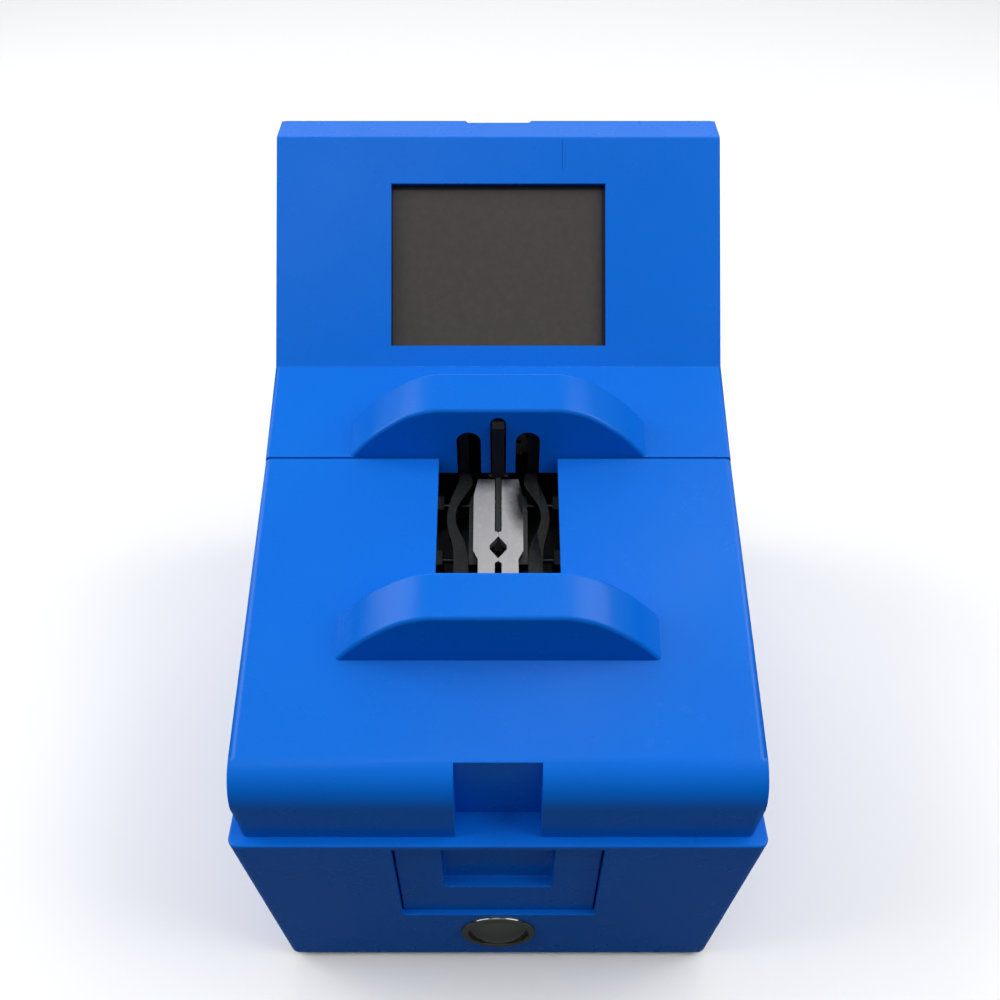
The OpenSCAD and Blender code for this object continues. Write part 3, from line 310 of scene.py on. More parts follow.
finishes = {
    "blueShell": {"colour": (0.0012, 0.148, 0.690), "dark": (0.0010, 0.124, 0.610),
                  "worn": (0.50, 0.62, 0.80), "rough": (0.22, 0.32), "coat": 0.0, "bump": 0.02,
                  "grain": 1400.0, "ripple": 45.0, "share": 0.8, "mottle": 0.3, "wear": 0.0,
                  "dust": 0.0, "specular": 0.16},
    "chromeTrim": {"colour": (0.30, 0.30, 0.25), "dark": (0.23, 0.23, 0.19), "worn": (0.3, 0.3, 0.28),
                   "rough": (0.03, 0.12), "metal": 1.0, "bump": 0.02, "grain": 700.0, "ripple": 30.0,
                   "share": 0.6, "mottle": 0.5, "wear": 0.2, "dust": 0.02},
    "jawSteel": {"colour": (0.54, 0.53, 0.54), "dark": (0.42, 0.41, 0.42), "worn": (0.85, 0.85, 0.86),
                 "rough": (0.30, 0.40), "metal": 1.0, "bump": 0.03, "stretch": (900.0, 160.0, 900.0),
                 "mottle": 0.3, "wear": 0.25, "dust": 0.0,
                 # painted shade: dark patches on the jaw tops just ahead of the seam, where the hood shades them
                 "paintedShadeSpots": ((deckPoint(14, -18, -12), (1.2, 0.62, 0.4), 0.0125, (0.02, 0.02, 0.022, 1)),
                           (deckPoint(4, -3, -12), (1.2, 1.0, 0.4), 0.009, (0.06, 0.06, 0.06, 1)),
                           (deckPoint(-7, -3, -12), (0.8, 1.0, 0.4), 0.010, (0.10, 0.10, 0.10, 1)))},
    "blackMetal": {"colour": (0.012, 0.012, 0.013), "dark": (0.007, 0.007, 0.008),
                   "worn": (0.10, 0.10, 0.11), "rough": (0.34, 0.46), "metal": 0.1, "bump": 0.05,
                   "grain": 1100.0, "ripple": 80.0, "share": 0.4, "mottle": 0.5, "wear": 0.2,
                   "dust": 0.0, "specular": 0.4},
    "oiledSteel": {"colour": (0.10, 0.10, 0.105), "dark": (0.05, 0.05, 0.055), "worn": (0.3, 0.3, 0.3),
                   "rough": (0.30, 0.46), "metal": 1.0, "bump": 0.04, "stretch": (60.0, 700.0, 700.0),
                   "mottle": 0.6, "wear": 0.2, "dust": 0.0},
    "screenFace": {"colour": (0.050, 0.042, 0.038), "dark": (0.044, 0.037, 0.034),
                   "worn": (0.08, 0.07, 0.07), "rough": (0.38, 0.46), "bump": 0.02, "grain": 2200.0,
                   "ripple": 300.0, "share": 0.3, "mottle": 0.5, "wear": 0.0, "dust": 0.03,
                   "specular": 0.35},
    "screenBorder": {"colour": (0.003, 0.003, 0.004), "dark": (0.002, 0.002, 0.002),
                     "worn": (0.02, 0.02, 0.02), "rough": (0.45, 0.6), "bump": 0.04, "grain": 1200.0,
                     "ripple": 200.0, "share": 0.3, "mottle": 0.4, "wear": 0.1, "dust": 0.0},
    "rubberBlack": {"colour": (0.014, 0.014, 0.015), "dark": (0.008, 0.008, 0.008),
                    "worn": (0.05, 0.05, 0.05), "rough": (0.62, 0.82), "bump": 0.2, "grain": 900.0,
                    "ripple": 120.0, "share": 0.3, "mottle": 0.6, "wear": 0.3, "dust": 0.12},
    "blackPlastic": {"colour": (0.016, 0.017, 0.018), "dark": (0.010, 0.010, 0.011),
                     "worn": (0.06, 0.06, 0.06), "rough": (0.42, 0.58), "bump": 0.14, "grain": 1300.0,
                     "ripple": 150.0, "share": 0.25, "mottle": 0.5, "wear": 0.3, "dust": 0.1},
    "zincSheet": {"colour": (0.50, 0.51, 0.52), "dark": (0.36, 0.38, 0.40), "worn": (0.7, 0.7, 0.7),
                  "rough": (0.28, 0.5), "metal": 1.0, "bump": 0.08, "stretch": (500.0, 70.0, 500.0),
                  "mottle": 0.8, "wear": 0.3, "dust": 0.03},
    "turnedSteel": {"colour": (0.60, 0.61, 0.62), "dark": (0.42, 0.43, 0.44), "worn": (0.8, 0.8, 0.8),
                    "rough": (0.16, 0.32), "metal": 1.0, "bump": 0.05, "stretch": (700.0, 700.0, 120.0),
                    "mottle": 0.5, "wear": 0.3, "dust": 0.0},
    "machinedAlloy": {"colour": (0.50, 0.51, 0.53), "dark": (0.40, 0.41, 0.43),
                      "worn": (0.75, 0.75, 0.76), "rough": (0.26, 0.42), "metal": 1.0, "bump": 0.08,
                      "stretch": (80.0, 800.0, 800.0), "mottle": 0.6, "wear": 0.5, "dust": 0.02},
    "circuitBoard": {"colour": (0.012, 0.11, 0.045), "dark": (0.006, 0.055, 0.022),
                     "worn": (0.5, 0.4, 0.18), "rough": (0.3, 0.42), "bump": 0.16, "grain": 500.0,
                     "ripple": 240.0, "share": 0.6, "mottle": 0.9, "wear": 0.1, "dust": 0.05},
    "gearPlastic": {"colour": (0.66, 0.61, 0.46), "dark": (0.55, 0.49, 0.35), "worn": (0.8, 0.77, 0.66),
                    "rough": (0.38, 0.52), "bump": 0.08, "grain": 1000.0, "ripple": 120.0, "share": 0.3,
                    "mottle": 0.6, "wear": 0.3, "dust": 0.03},
    "motorCan": {"colour": (0.42, 0.43, 0.44), "dark": (0.30, 0.31, 0.32), "worn": (0.6, 0.6, 0.6),
                 "rough": (0.22, 0.38), "metal": 1.0, "bump": 0.05, "stretch": (300.0, 300.0, 40.0),
                 "mottle": 0.7, "wear": 0.2, "dust": 0.02},
    "brassPost": {"colour": (0.62, 0.45, 0.17), "dark": (0.45, 0.31, 0.10), "worn": (0.8, 0.65, 0.35),
                  "rough": (0.2, 0.36), "metal": 1.0, "bump": 0.05, "stretch": (500.0, 500.0, 90.0),
                  "mottle": 0.6, "wear": 0.3, "dust": 0.0},
    "magnetBlock": {"colour": (0.055, 0.055, 0.060), "dark": (0.035, 0.035, 0.038),
                    "worn": (0.2, 0.2, 0.2), "rough": (0.5, 0.7), "bump": 0.2, "grain": 800.0,
                    "ripple": 90.0, "share": 0.4, "mottle": 0.7, "wear": 0.3, "dust": 0.02},
    "redRocker": {"colour": (0.30, 0.014, 0.012), "dark": (0.22, 0.010, 0.008), "worn": (0.5, 0.1, 0.1),
                  "rough": (0.2, 0.3), "coat": 0.2, "bump": 0.03, "grain": 1200.0, "ripple": 60.0,
                  "share": 0.6, "mottle": 0.4, "wear": 0.1, "dust": 0.03},
}


def makeFinish(name, f):
    material = bpy.data.materials.new(name)
    material.use_nodes = True
    tree = material.node_tree
    shader = tree.nodes["Principled BSDF"]
    place = tree.nodes.new("ShaderNodeTexCoord").outputs["Object"]
    tone = tree.nodes.new("ShaderNodeGroup")
    tone.node_tree = toneGroup
    tree.links.new(place, tone.inputs["Vector"])
    tone.inputs["Colour"].default_value = (*f["colour"], 1)
    tone.inputs["Dark Colour"].default_value = (*f["dark"], 1)
    tone.inputs["Worn Colour"].default_value = (*f["worn"], 1)
    tone.inputs["Mottle"].default_value = f["mottle"]
    tone.inputs["Wear"].default_value = f["wear"]
    colour = tone.outputs["Colour"]
    if f["dust"] > 0:
        dust = tree.nodes.new("ShaderNodeGroup")
        dust.node_tree = dustGroup
        tree.links.new(place, dust.inputs["Vector"])
        tree.links.new(colour, dust.inputs["Colour"])
        dust.inputs["Amount"].default_value = f["dust"]
        colour = dust.outputs["Colour"]
    # painted shade patches laid over the colour
    for spot, stretch, radius, shadeTint in f.get("paintedShadeSpots", ()):
        patch = tree.nodes.new("ShaderNodeGroup")
        patch.node_tree = paintedShadeGroup
        tree.links.new(place, patch.inputs["Vector"])
        tree.links.new(colour, patch.inputs["Colour"])
        patch.inputs["Shade Colour"].default_value = shadeTint
        patch.inputs["Centre"].default_value = spot
        patch.inputs["Stretch"].default_value = stretch
        patch.inputs["Radius"].default_value = radius
        colour = patch.outputs["Colour"]
    tree.links.new(colour, shader.inputs["Base Color"])
    grain = tree.nodes.new("ShaderNodeGroup")
    if "stretch" in f:
        grain.node_tree = brushGroup
        grain.inputs["Stretch"].default_value = f["stretch"]
    else:
        grain.node_tree = grainGroup
        grain.inputs["Grain Scale"].default_value = f["grain"]
        grain.inputs["Ripple Scale"].default_value = f["ripple"]
        grain.inputs["Ripple Share"].default_value = f["share"]
    tree.links.new(place, grain.inputs["Vector"])
    grain.inputs["Rough Low"].default_value = f["rough"][0]
    grain.inputs["Rough High"].default_value = f["rough"][1]
    tree.links.new(grain.outputs["Roughness"], shader.inputs["Roughness"])
    bump = tree.nodes.new("ShaderNodeBump")
    bump.inputs["Strength"].default_value = f["bump"]
    bump.inputs["Distance"].default_value = 0.0004
    tree.links.new(grain.outputs["Height"], bump.inputs["Height"])
    tree.links.new(bump.outputs["Normal"], shader.inputs["Normal"])
    shader.inputs["Metallic"].default_value = f.get("metal", 0.0)
    shader.inputs["Coat Weight"].default_value = f.get("coat", 0.0)
    shader.inputs["Coat Roughness"].default_value = 0.08
    shader.inputs["Specular IOR Level"].default_value = f.get("specular", 0.5)
    return material


materials = {name: makeFinish(name, values) for name, values in finishes.items()}
print("materials made:", len(materials))

# Mesh tools


def addMesh(name, bm):
    bmesh.ops.recalc_face_normals(bm, faces=bm.faces)
    mesh = bpy.data.meshes.new(name)
    bm.to_mesh(mesh)
    bm.free()
    obj = bpy.data.objects.new(name, mesh)
    scene.collection.objects.link(obj)
    return obj


# closed rings of points joined in order; the ends are closed with flat caps
def ringsMesh(rings, caps=True):
    bm = bmesh.new()
    made = [[bm.verts.new(Vector(p) * mm) for p in ring] for ring in rings]
    count = len(rings[0])
    for lower, upper in zip(made, made[1:]):
        for i in range(count):
            j = (i + 1) % count
            bm.faces.new((lower[i], lower[j], upper[j], upper[i]))
    if caps:
        bm.faces.new(made[0][::-1])
        bm.faces.new(made[-1])
    bm.verts.ensure_lookup_table()
    return bm, made


def filletPath(points, radii, steps=6):
    path = []
    for i, corner in enumerate(points):
        corner = Vector(corner)
        if radii[i] <= 0:
            path.append(corner)
            continue
        back = (Vector(points[i - 1]) - corner).normalized()
        ahead = (Vector(points[(i + 1) % len(points)]) - corner).normalized()
        half = back.angle(ahead) / 2
        centre = corner + (back + ahead).normalized() * (radii[i] / math.sin(half))
        first = corner + back * (radii[i] / math.tan(half)) - centre
        last = corner + ahead * (radii[i] / math.tan(half)) - centre
        start = math.atan2(first.y, first.x)
        turn = (math.atan2(last.y, last.x) - start + math.pi) % (2 * math.pi) - math.pi
        for k in range(steps + 1):
            angle = start + turn * k / steps
            path.append(centre + radii[i] * Vector((math.cos(angle), math.sin(angle))))
    return path


# a side outline of (y, z) points run across from -x to +x, its end edges rounded
def acrossPrism(name, outline, x, roundBy=0.0, roundTest=None):
    rings = [[(-x, p[0], p[1]) for p in outline], [(x, p[0], p[1]) for p in outline]]
    bm, made = ringsMesh(rings)
    if roundBy > 0:
        edges = []
        for ring in made:
            for i in range(len(ring)):
                edge = bm.edges.get((ring[i], ring[(i + 1) % len(ring)]))
                middle = (ring[i].co + ring[(i + 1) % len(ring)].co) / 2 / mm
                if roundTest(middle.y, middle.z):
                    edges.append(edge)
        bmesh.ops.bevel(bm, geom=edges, offset=roundBy * mm, offset_type="OFFSET", segments=5,
                        profile=0.5, affect="EDGES", clamp_overlap=True)
    return addMesh(name, bm)


def boxMesh(name, low, high, matrix=None, roundBy=0.0):
    bm = bmesh.new()
    bmesh.ops.create_cube(bm, size=1)
    size = Vector(high) - Vector(low)
    middle = (Vector(high) + Vector(low)) / 2
    for v in bm.verts:
        v.co = Vector((v.co.x * size.x, v.co.y * size.y, v.co.z * size.z)) + middle
        if matrix is not None:
            v.co = matrix @ v.co
        v.co *= mm
    if roundBy > 0:
        bmesh.ops.bevel(bm, geom=bm.edges[:], offset=roundBy * mm, offset_type="OFFSET", segments=3,
                        profile=0.5, affect="EDGES", clamp_overlap=True)
    return addMesh(name, bm)


def turned(name, profile, matrix, steps=96):
    rings = []
    for r, z in profile:
        rings.append([matrix @ Vector((r * math.cos(2 * math.pi * k / steps),
                                       r * math.sin(2 * math.pi * k / steps), z)) for k in range(steps)])
    bm, made = ringsMesh(rings)
    return addMesh(name, bm)


def drum(name, radius, length, matrix, steps=48):
    return turned(name, [(radius, 0), (radius, length)], matrix, steps)


def bakeModifiers(obj):
    bpy.context.view_layer.update()
    graph = bpy.context.evaluated_depsgraph_get()
    mesh = bpy.data.meshes.new_from_object(obj.evaluated_get(graph))
    obj.modifiers.clear()
    obj.data = mesh


def combine(target, operation, *tools):
    for tool in tools:
        step = target.modifiers.new("combine", "BOOLEAN")
        step.operation = operation
        step.solver = "EXACT"
        step.object = tool
        bakeModifiers(target)
        bpy.data.objects.remove(tool)
    return target


def softenEdges(obj, width, segments=2, angle=32):
    mesh = obj.data
    for face in mesh.polygons:
        face.use_smooth = True
    step = obj.modifiers.new("softEdges", "BEVEL")
    step.width = width * mm
    step.segments = segments
    step.limit_method = "ANGLE"
    step.angle_limit = math.radians(angle)
    step.miter_outer = "MITER_SHARP"
    step.use_clamp_overlap = True
    step.harden_normals = False
    level = obj.modifiers.new("evenNormals", "WEIGHTED_NORMAL")
    level.keep_sharp = True
    level.weight = 80
    return obj


def setMaterial(obj, name):
    obj.data.materials.clear()
    obj.data.materials.append(materials[name])


def finishPiece(obj, material, body, replaced=(), soften=0.5, segments=2, angle=32):
    if soften > 0:
        softenEdges(obj, soften, segments, angle)
    setMaterial(obj, material)
    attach(obj, body)
    if replaced:
        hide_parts(*replaced)
    print("piece", obj.name)
    return obj


# Base tub

tub = {"cornerRadius": 5.0, "topRound": 1.2, "footRound": 1.5, "flange": 20.0, "flangeDepth": 4.0,
       "floor": 4.0}


def tubRing(z, inset, cornerSteps=8):
    sideX = baseHigh.x - shape["sideDraft"] * (rimZ - z) / (rimZ - baseLow.z) - inset
    low, high = frontY(z) + inset, backY(z) - inset
    radius = max(tub["cornerRadius"] - inset * 0.8, 1.5)
    ring = []
    for cx, cy, start in ((sideX, high, 0), (-sideX, high, 90), (-sideX, low, 180), (sideX, low, 270)):
        mx = cx - math.copysign(radius, cx)
        my = cy - radius if cy == high else cy + radius
        for k in range(cornerSteps + 1):
            angle = math.radians(start + 90 * k / cornerSteps)
            ring.append((mx + radius * math.cos(angle), my + radius * math.sin(angle), z))
    return ring


def makeTub():
    rings = []
    for k in range(4):
        angle = math.pi / 2 * k / 3
        rings.append(tubRing(baseLow.z + tub["footRound"] * (1 - math.cos(angle)),
                             tub["footRound"] * (1 - math.sin(angle))))
    for z in (40, 80, 120):
        rings.append(tubRing(z, 0))
    for k in range(6):
        angle = math.pi / 2 * k / 5
        rings.append(tubRing(rimZ - tub["topRound"] * (1 - math.sin(angle)),
                             tub["topRound"] * (1 - math.cos(angle))))
    rings.append(tubRing(rimZ, tub["flange"] - 0.8))
    rings.append(tubRing(rimZ - 0.8, tub["flange"]))
    rings.append(tubRing(rimZ - tub["flangeDepth"], tub["flange"]))
    rings.append(tubRing(rimZ - tub["flangeDepth"], shape["wall"]))
    rings.append(tubRing(baseLow.z + tub["floor"], shape["wall"]))
    bm, made = ringsMesh(rings)
    body = addMesh("baseTub", bm)
    opening = boxMesh("cutDrawer", (drawerLow.x - 0.5, baseLow.y - 5, drawerLow.z - 0.5),
                      (drawerHigh.x + 0.5, baseLow.y + 14, rimZ - tub["flangeDepth"]))
    combine(body, "DIFFERENCE", opening)
    hole = drum("cutButton", (bezelHigh.x - bezelLow.x) / 2 - 1.7, 40, buttonFrame @ Matrix.Translation((0, 0, -20)))
    inlet = boxMesh("cutInlet", (-14, -10, -24), (14, 4, 24), inletFrame)
    combine(body, "DIFFERENCE", hole, inlet)
    return finishPiece(body, "blueShell", "housing", ("base_tray",), 0.6, 2, 40)


frontLean = math.atan(frontTan)
capBox = nodeBox("button_cap")
buttonFrame = Matrix.Translation((0, frontY((capBox[0].z + capBox[1].z) / 2),
                                  (capBox[0].z + capBox[1].z) / 2)) @ Matrix.Rotation(
    math.pi / 2 + frontLean, 4, "X")
inletBox = nodeBox("power_inlet")
inletX = (inletBox[0].x + inletBox[1].x) / 2
inletZ = (inletBox[0].z + inletBox[1].z) / 2
inletFrame = Matrix.Translation((inletX, backY(inletZ), inletZ)) @ Matrix.Rotation(-frontLean, 4, "X")
makeTub()

# Guard hoods

hood = {"thick": 22.0, "wall": 3.0, "frontRound": 1.7, "backRound": 2.0}
archPoints = [(76, 0), (66, 11.5), (56, 19.9), (45, 27.0), (33, 30.6), (22, 31), (0, 31)]


# smooth arch through the points above, right end to left end, moved inwards by inset
def archOutline(inset, low):
    half = []
    for i in range(len(archPoints) - 1):
        p0 = Vector(archPoints[max(i - 1, 0)])
        p1, p2 = Vector(archPoints[i]), Vector(archPoints[i + 1])
        p3 = Vector(archPoints[min(i + 2, len(archPoints) - 1)])
        for k in range(6):
            t = k / 6
            half.append(0.5 * (2 * p1 + (p2 - p0) * t + (2 * p0 - 5 * p1 + 4 * p2 - p3) * t * t
                               + (3 * p1 - p0 - 3 * p2 + p3) * t ** 3))
    moved = []
    for i, p in enumerate(half):
        ahead = half[min(i + 1, len(half) - 1)] - half[max(i - 1, 0)]
        moved.append(p + Vector((-ahead.y, ahead.x)).normalized() * inset)
    right = [Vector((moved[0].x, -low))] + moved
    left = [Vector((-p.x, p.y)) for p in reversed(right)]
    return right + left


def hoodSolid(name, front, back, inset, low, rounds):
    stations = []
    for k in range(7 if rounds[0] > 0 else 1):
        a = math.pi / 2 * k / 6
        stations.append((front + rounds[0] * (1 - math.cos(a)), rounds[0] * (1 - math.sin(a))))
    for k in range(5 if rounds[1] > 0 else 1):
        a = math.pi / 2 * (1 - k / 4)
        stations.append((back - rounds[1] * (1 - math.cos(a)), rounds[1] * (1 - math.sin(a))))
    rings = [[(p.x, y, deckZ(y) + p.y) for p in archOutline(inset + extra, low)]
             for y, extra in stations]
    bm, made = ringsMesh(rings)
    return addMesh(name, bm)


def hoodPair(front):
    outer = hoodSolid("hoodOuter", front, front + hood["thick"], 0, 3.0,
                      (hood["frontRound"], hood["backRound"]))
    inner = hoodSolid("hoodInner", front + hood["wall"], front + hood["thick"] - hood["wall"],
                      hood["wall"], 12.0, (0, 0))
    return outer, inner


# Front lid

lid = {"sideRound": 3.4, "hoodFront": -107.5, "notchWidth": 40.0, "notchDepth": 12.6,
       "mouthHalf": 30.5, "mouthDepth": 75.0, "bossInset": 10.0}


def lidOutline(inset):
    past = 1 if inset > 1 else 0
    bottom = lidLow.z - past
    back = lidHigh.y + past
    outline = [Vector((back, bottom)), Vector((lidLow.y + inset, bottom))]
    radius = shape["noseRadius"] - inset
    sweep = 90 - shape["deckSlope"]
    for k in range(15):
        angle = math.radians(180 - sweep * k / 14)
        outline.append(Vector((noseY + radius * math.cos(angle), noseZ + radius * math.sin(angle))))
    outline.append(Vector((back, deckZ(back) - inset / deckCos)))
    return outline


def makeLid():
    body = acrossPrism("frontLid", lidOutline(0), coverX, lid["sideRound"],
                       lambda y, z: z > lidLow.z + 0.1 and y < lidHigh.y - 0.1)
    inner = acrossPrism("lidInner", lidOutline(shape["wall"]), coverX - shape["wall"])
    combine(body, "DIFFERENCE", inner)
    outer, hollow = hoodPair(lid["hoodFront"])
    half = lid["notchWidth"] / 2
    notchTop = deckZ(lidLow.y + lid["notchDepth"])
    pocket = acrossPrism("notchBox", lidOutline(0.3), half + shape["wall"])
    beyond = boxMesh("cutBeyond", (-coverX, lidLow.y + lid["notchDepth"] + shape["wall"], lidLow.z - 9),
                     (coverX, 10, topZ))
    combine(pocket, "DIFFERENCE", beyond)
    combine(body, "UNION", outer, pocket)
    notch = boxMesh("cutNotch", (-half, lidLow.y - 5, lidLow.z - 5),
                    (half, lidLow.y + lid["notchDepth"], notchTop + 20))
    mouthFront = lidHigh.y - lid["mouthDepth"]
    mouth = boxMesh("cutMouth", (-lid["mouthHalf"], mouthFront, deckZ(seamY) - 60),
                    (lid["mouthHalf"], 10, deckZ(seamY) + 40))
    combine(body, "DIFFERENCE", hollow, notch, mouth)
    for side in (-1, 1):
        x = side * (coverX - lid["bossInset"])
        for y in (baseLow.y + 15, -22):
            top = 30 if y < -100 else deckZ(y) - lidLow.z - 2
            post = turned("lidPost", [(5, 0), (5, top)],
                          Matrix.Translation((x, y, lidLow.z)), 32)
            combine(body, "UNION", post)
            bore = drum("cutPost", 2.6, 20, Matrix.Translation((x, y, lidLow.z - 1)), 32)
            combine(body, "DIFFERENCE", bore)
    return finishPiece(body, "blueShell", "front_cover", ("front_lid",), 0.7, 3, 40)


makeLid()

# Rear housing

house = {"sideRound": 3.2, "topRound": 2.4, "creaseRound": 2.5, "slots": ((0, 8, 26.4), (-15.05, 12.4, 16.8),
         (15.05, 12.4, 16.8)), "lip": 11.0, "window": (116.0, 88.0, 11.4), "hoodFront": houseLow.y,
         "notchHalf": 19.0, "notchDepth": 4.2}


def houseOutline(inset):
    bottom = lidLow.z if inset == 0 else lidLow.z - 1
    front = houseLow.y if inset == 0 else houseLow.y - 1
    turn = (panelAngle - math.radians(shape["deckSlope"])) / 2
    creaseY = shape["creaseY"] + inset * math.sin(math.radians(shape["deckSlope"])) \
        - inset * math.tan(turn) * deckCos
    points = [(front, bottom), (coverBack - inset, bottom), (coverBack - inset, topZ - inset),
              (topY + inset * math.tan(panelAngle / 2), topZ - inset),
              (creaseY, deckZ(creaseY) - inset / deckCos),
              (front, deckZ(front) - inset / deckCos)]
    radii = [0, 0, house["topRound"], house["topRound"], house["creaseRound"], 0]
    if inset > 0:
        radii = [0, 0, 0, 0, 0, 0]
    return filletPath(points, radii, 6)


def slotTool(name, x, width, height):
    half = width / 2
    outline = [Vector((x - half, -40)), Vector((x + half, -40))]
    for k in range(17):
        angle = math.pi * k / 16
        outline.append(Vector((x + half * math.cos(angle), height - half + half * math.sin(angle))))
    rings = [[(p.x, y, deckZ(seamY) + p.y) for p in outline] for y in (houseLow.y - 12, houseLow.y + 7)]
    bm, made = ringsMesh(rings)
    return addMesh(name, bm)


def makeHousing():
    body = acrossPrism("rearHousing", houseOutline(0), coverX, house["sideRound"],
                       lambda y, z: z > lidLow.z + 0.1 and y > houseLow.y + 0.1)
    inner = acrossPrism("houseInner", houseOutline(shape["wall"]), coverX - shape["wall"])
    combine(body, "DIFFERENCE", inner)
    outer, hollow = hoodPair(house["hoodFront"])
    lip = boxMesh("lip", (-coverX + 1, houseLow.y, deckZ(seamY) - house["lip"]),
                  (coverX - 1, houseLow.y + 3, deckZ(seamY) - 1))
    combine(body, "UNION", outer, lip)
    combine(body, "DIFFERENCE", hollow, *[slotTool("cutSlot", *s) for s in house["slots"]])
    width, height, up = house["window"]
    window = boxMesh("cutWindow", (-width / 2, up, -10), (width / 2, up + height, 20), panelFrame)
    doorway = boxMesh("cutDoor", (doorLow.x - 0.5, coverBack - 8, doorLow.z + 7.9),
                      (doorHigh.x + 0.5, coverBack + 5, doorHigh.z + 0.5))
    mark = boxMesh("cutMark", (34.45, shape["panelLength"] - 18, -0.25),
                   (34.75, shape["panelLength"] - 1.5, 5), panelFrame)
    half = house["notchHalf"]
    deep = house["notchDepth"]
    rings = [[(-half + 2.0, coverBack - deep, z), (half - 2.0, coverBack - deep, z),
              (half + 1.5, coverBack + 3, z), (-half - 1.5, coverBack + 3, z)]
             for z in (doorHigh.z - 1, topZ + 3)]
    bm, made = ringsMesh(rings)
    combine(body, "DIFFERENCE", window, doorway, mark, addMesh("cutGrip", bm))
    for side in (-1, 1):
        x = side * (coverX - 10)
        for y in (14, baseHigh.y - 16):
            post = drum("housePost", 4.5, 24, Matrix.Translation((x, y, lidLow.z)), 32)
            combine(body, "UNION", post)
    return finishPiece(body, "blueShell", "housing", ("rear_housing",), 0.6, 3, 40)


makeHousing()


# hinge knuckles of the housing, seen at the back
def makeKnuckles():
    pinLow, pinHigh = nodeBox("door_hinge_pins")
    y, z = (pinLow.y + pinHigh.y) / 2, (pinLow.z + pinHigh.z) / 2
    parts = []
    for side in (-1, 1):
        for start in (-11, 6):
            x = side * 70 + start
            matrix = Matrix.Translation((x, y, z)) @ Matrix.Rotation(math.pi / 2, 4, "Y")
            parts.append(turned("knuckle", [(1.55, 0), (3.2, 0), (3.2, 5), (1.55, 5)], matrix, 32))
            parts.append(boxMesh("web", (x, coverBack - 1, z - 3.2), (x + 5, y, z - 0.8)))
    body = parts[0]
    combine(body, "UNION", *parts[1:])
    body.name = "hingeKnuckles"
    return finishPiece(body, "blueShell", "housing", (), 0.3)


makeKnuckles()

# Drawer front

drawer = {"recess": 2.8, "pocketHalf": 27.0, "pocketTop": 4.0, "pocketHigh": 44.0}


def makeDrawerFront():
    outline = [(frontY(drawerLow.z) + drawer["recess"], drawerLow.z), (drawerHigh.y, drawerLow.z),
               (drawerHigh.y, drawerHigh.z), (frontY(drawerHigh.z) + drawer["recess"], drawerHigh.z)]
    body = acrossPrism("drawerFront", [Vector(p) for p in outline], drawerHigh.x)
    top = drawerHigh.z - drawer["pocketTop"]
    pocket = boxMesh("cutPocket", (-drawer["pocketHalf"], baseLow.y - 10, top - drawer["pocketHigh"]),
                     (drawer["pocketHalf"], drawerHigh.y - 4, top), None, 1.2)
    combine(body, "DIFFERENCE", pocket)
    return finishPiece(body, "blueShell", "drawer", ("drawer_front",), 0.8, 3)


makeDrawerFront()

# Start button

button = {"outer": 20.0, "domeRadius": 28.0, "domeHeight": 4.5, "rim": 4.0}


def makeButton():
    outer = button["outer"]
    capR = outer - button["rim"] - 0.05
    ring = [(outer - 2.2, -16), (outer - 2.2, -0.02), (outer, 0)]
    for k in range(7):
        angle = math.pi / 2 * k / 6
        ring.append((outer - 1.4 * (1 - math.cos(angle)), 0.3 + 1.4 * math.sin(angle)))
    ring += [(capR + 0.7, 1.7), (capR + 0.2, 1.5), (capR + 0.06, 1.0), (capR + 0.05, -16)]
    rings = []
    for r, z in ring:
        rings.append([buttonFrame @ Vector((r * math.cos(2 * math.pi * k / 96),
                                            r * math.sin(2 * math.pi * k / 96), z)) for k in range(96)])
    bm, made = ringsMesh(rings + [rings[0]], False)
    bmesh.ops.remove_doubles(bm, verts=bm.verts, dist=1e-7)
    bezel = addMesh("buttonBezel", bm)
    finishPiece(bezel, "chromeTrim", "housing", ("button_bezel",), 0)
    profile = [(0.2, -12.9), (2.3, -12.9), (2.3, -10), (capR - 0.2, -10), (capR, -9.8), (capR, 0.0)]
    for k in range(1, 21):
        r = (capR - 0.35) * (1 - k / 20)
        z = button["domeHeight"] - button["domeRadius"] + math.sqrt(button["domeRadius"] ** 2 - r * r)
        profile.append((max(r, 0.15), z))
    cap = turned("buttonDome", profile, buttonFrame)
    finishPiece(cap, "chromeTrim", "start_button", ("button_cap",), 0)
    for piece in (bezel, cap):
        for face in piece.data.polygons:
            face.use_smooth = True
        piece.data.set_sharp_from_angle(angle=math.radians(50))


makeButton()

# Display face

display = {"border": 2.2, "side": 1.6, "proud": 0.08}


def makeDisplayFace():
    width, height, up = house["window"]
    depth = -shape["wall"] - 1.0
    face = boxMesh("screenFace", (-width / 2 + 0.5, up + 0.5, depth - 0.5),
                   (width / 2 - display["side"], up + height - display["border"], depth + display["proud"]),
                   panelFrame, 0.05)
    finishPiece(face, "screenFace", "housing", (), 0)


makeDisplayFace()

# Claws

claw = {"pivotX": 13.0, "pivotY": -78.0, "top": -19.5, "thick": 6.0, "gearZ": -47.5}
clawOuter = [(20.4, 2.5), (20.8, -3), (23.0, -9), (25.6, -17), (26.6, -25), (25.6, -33), (23.4, -41),
             (22.8, -50), (22.8, -66), (23.0, -78)]
clawInner = [(15.0, -78), (15.2, -60), (15.6, -46), (17.6, -38), (20.6, -31.5), (22.2, -25), (21.2, -18),
             (17.0, -11), (14.0, -6), (13.8, -1), (15.3, 2.5)]


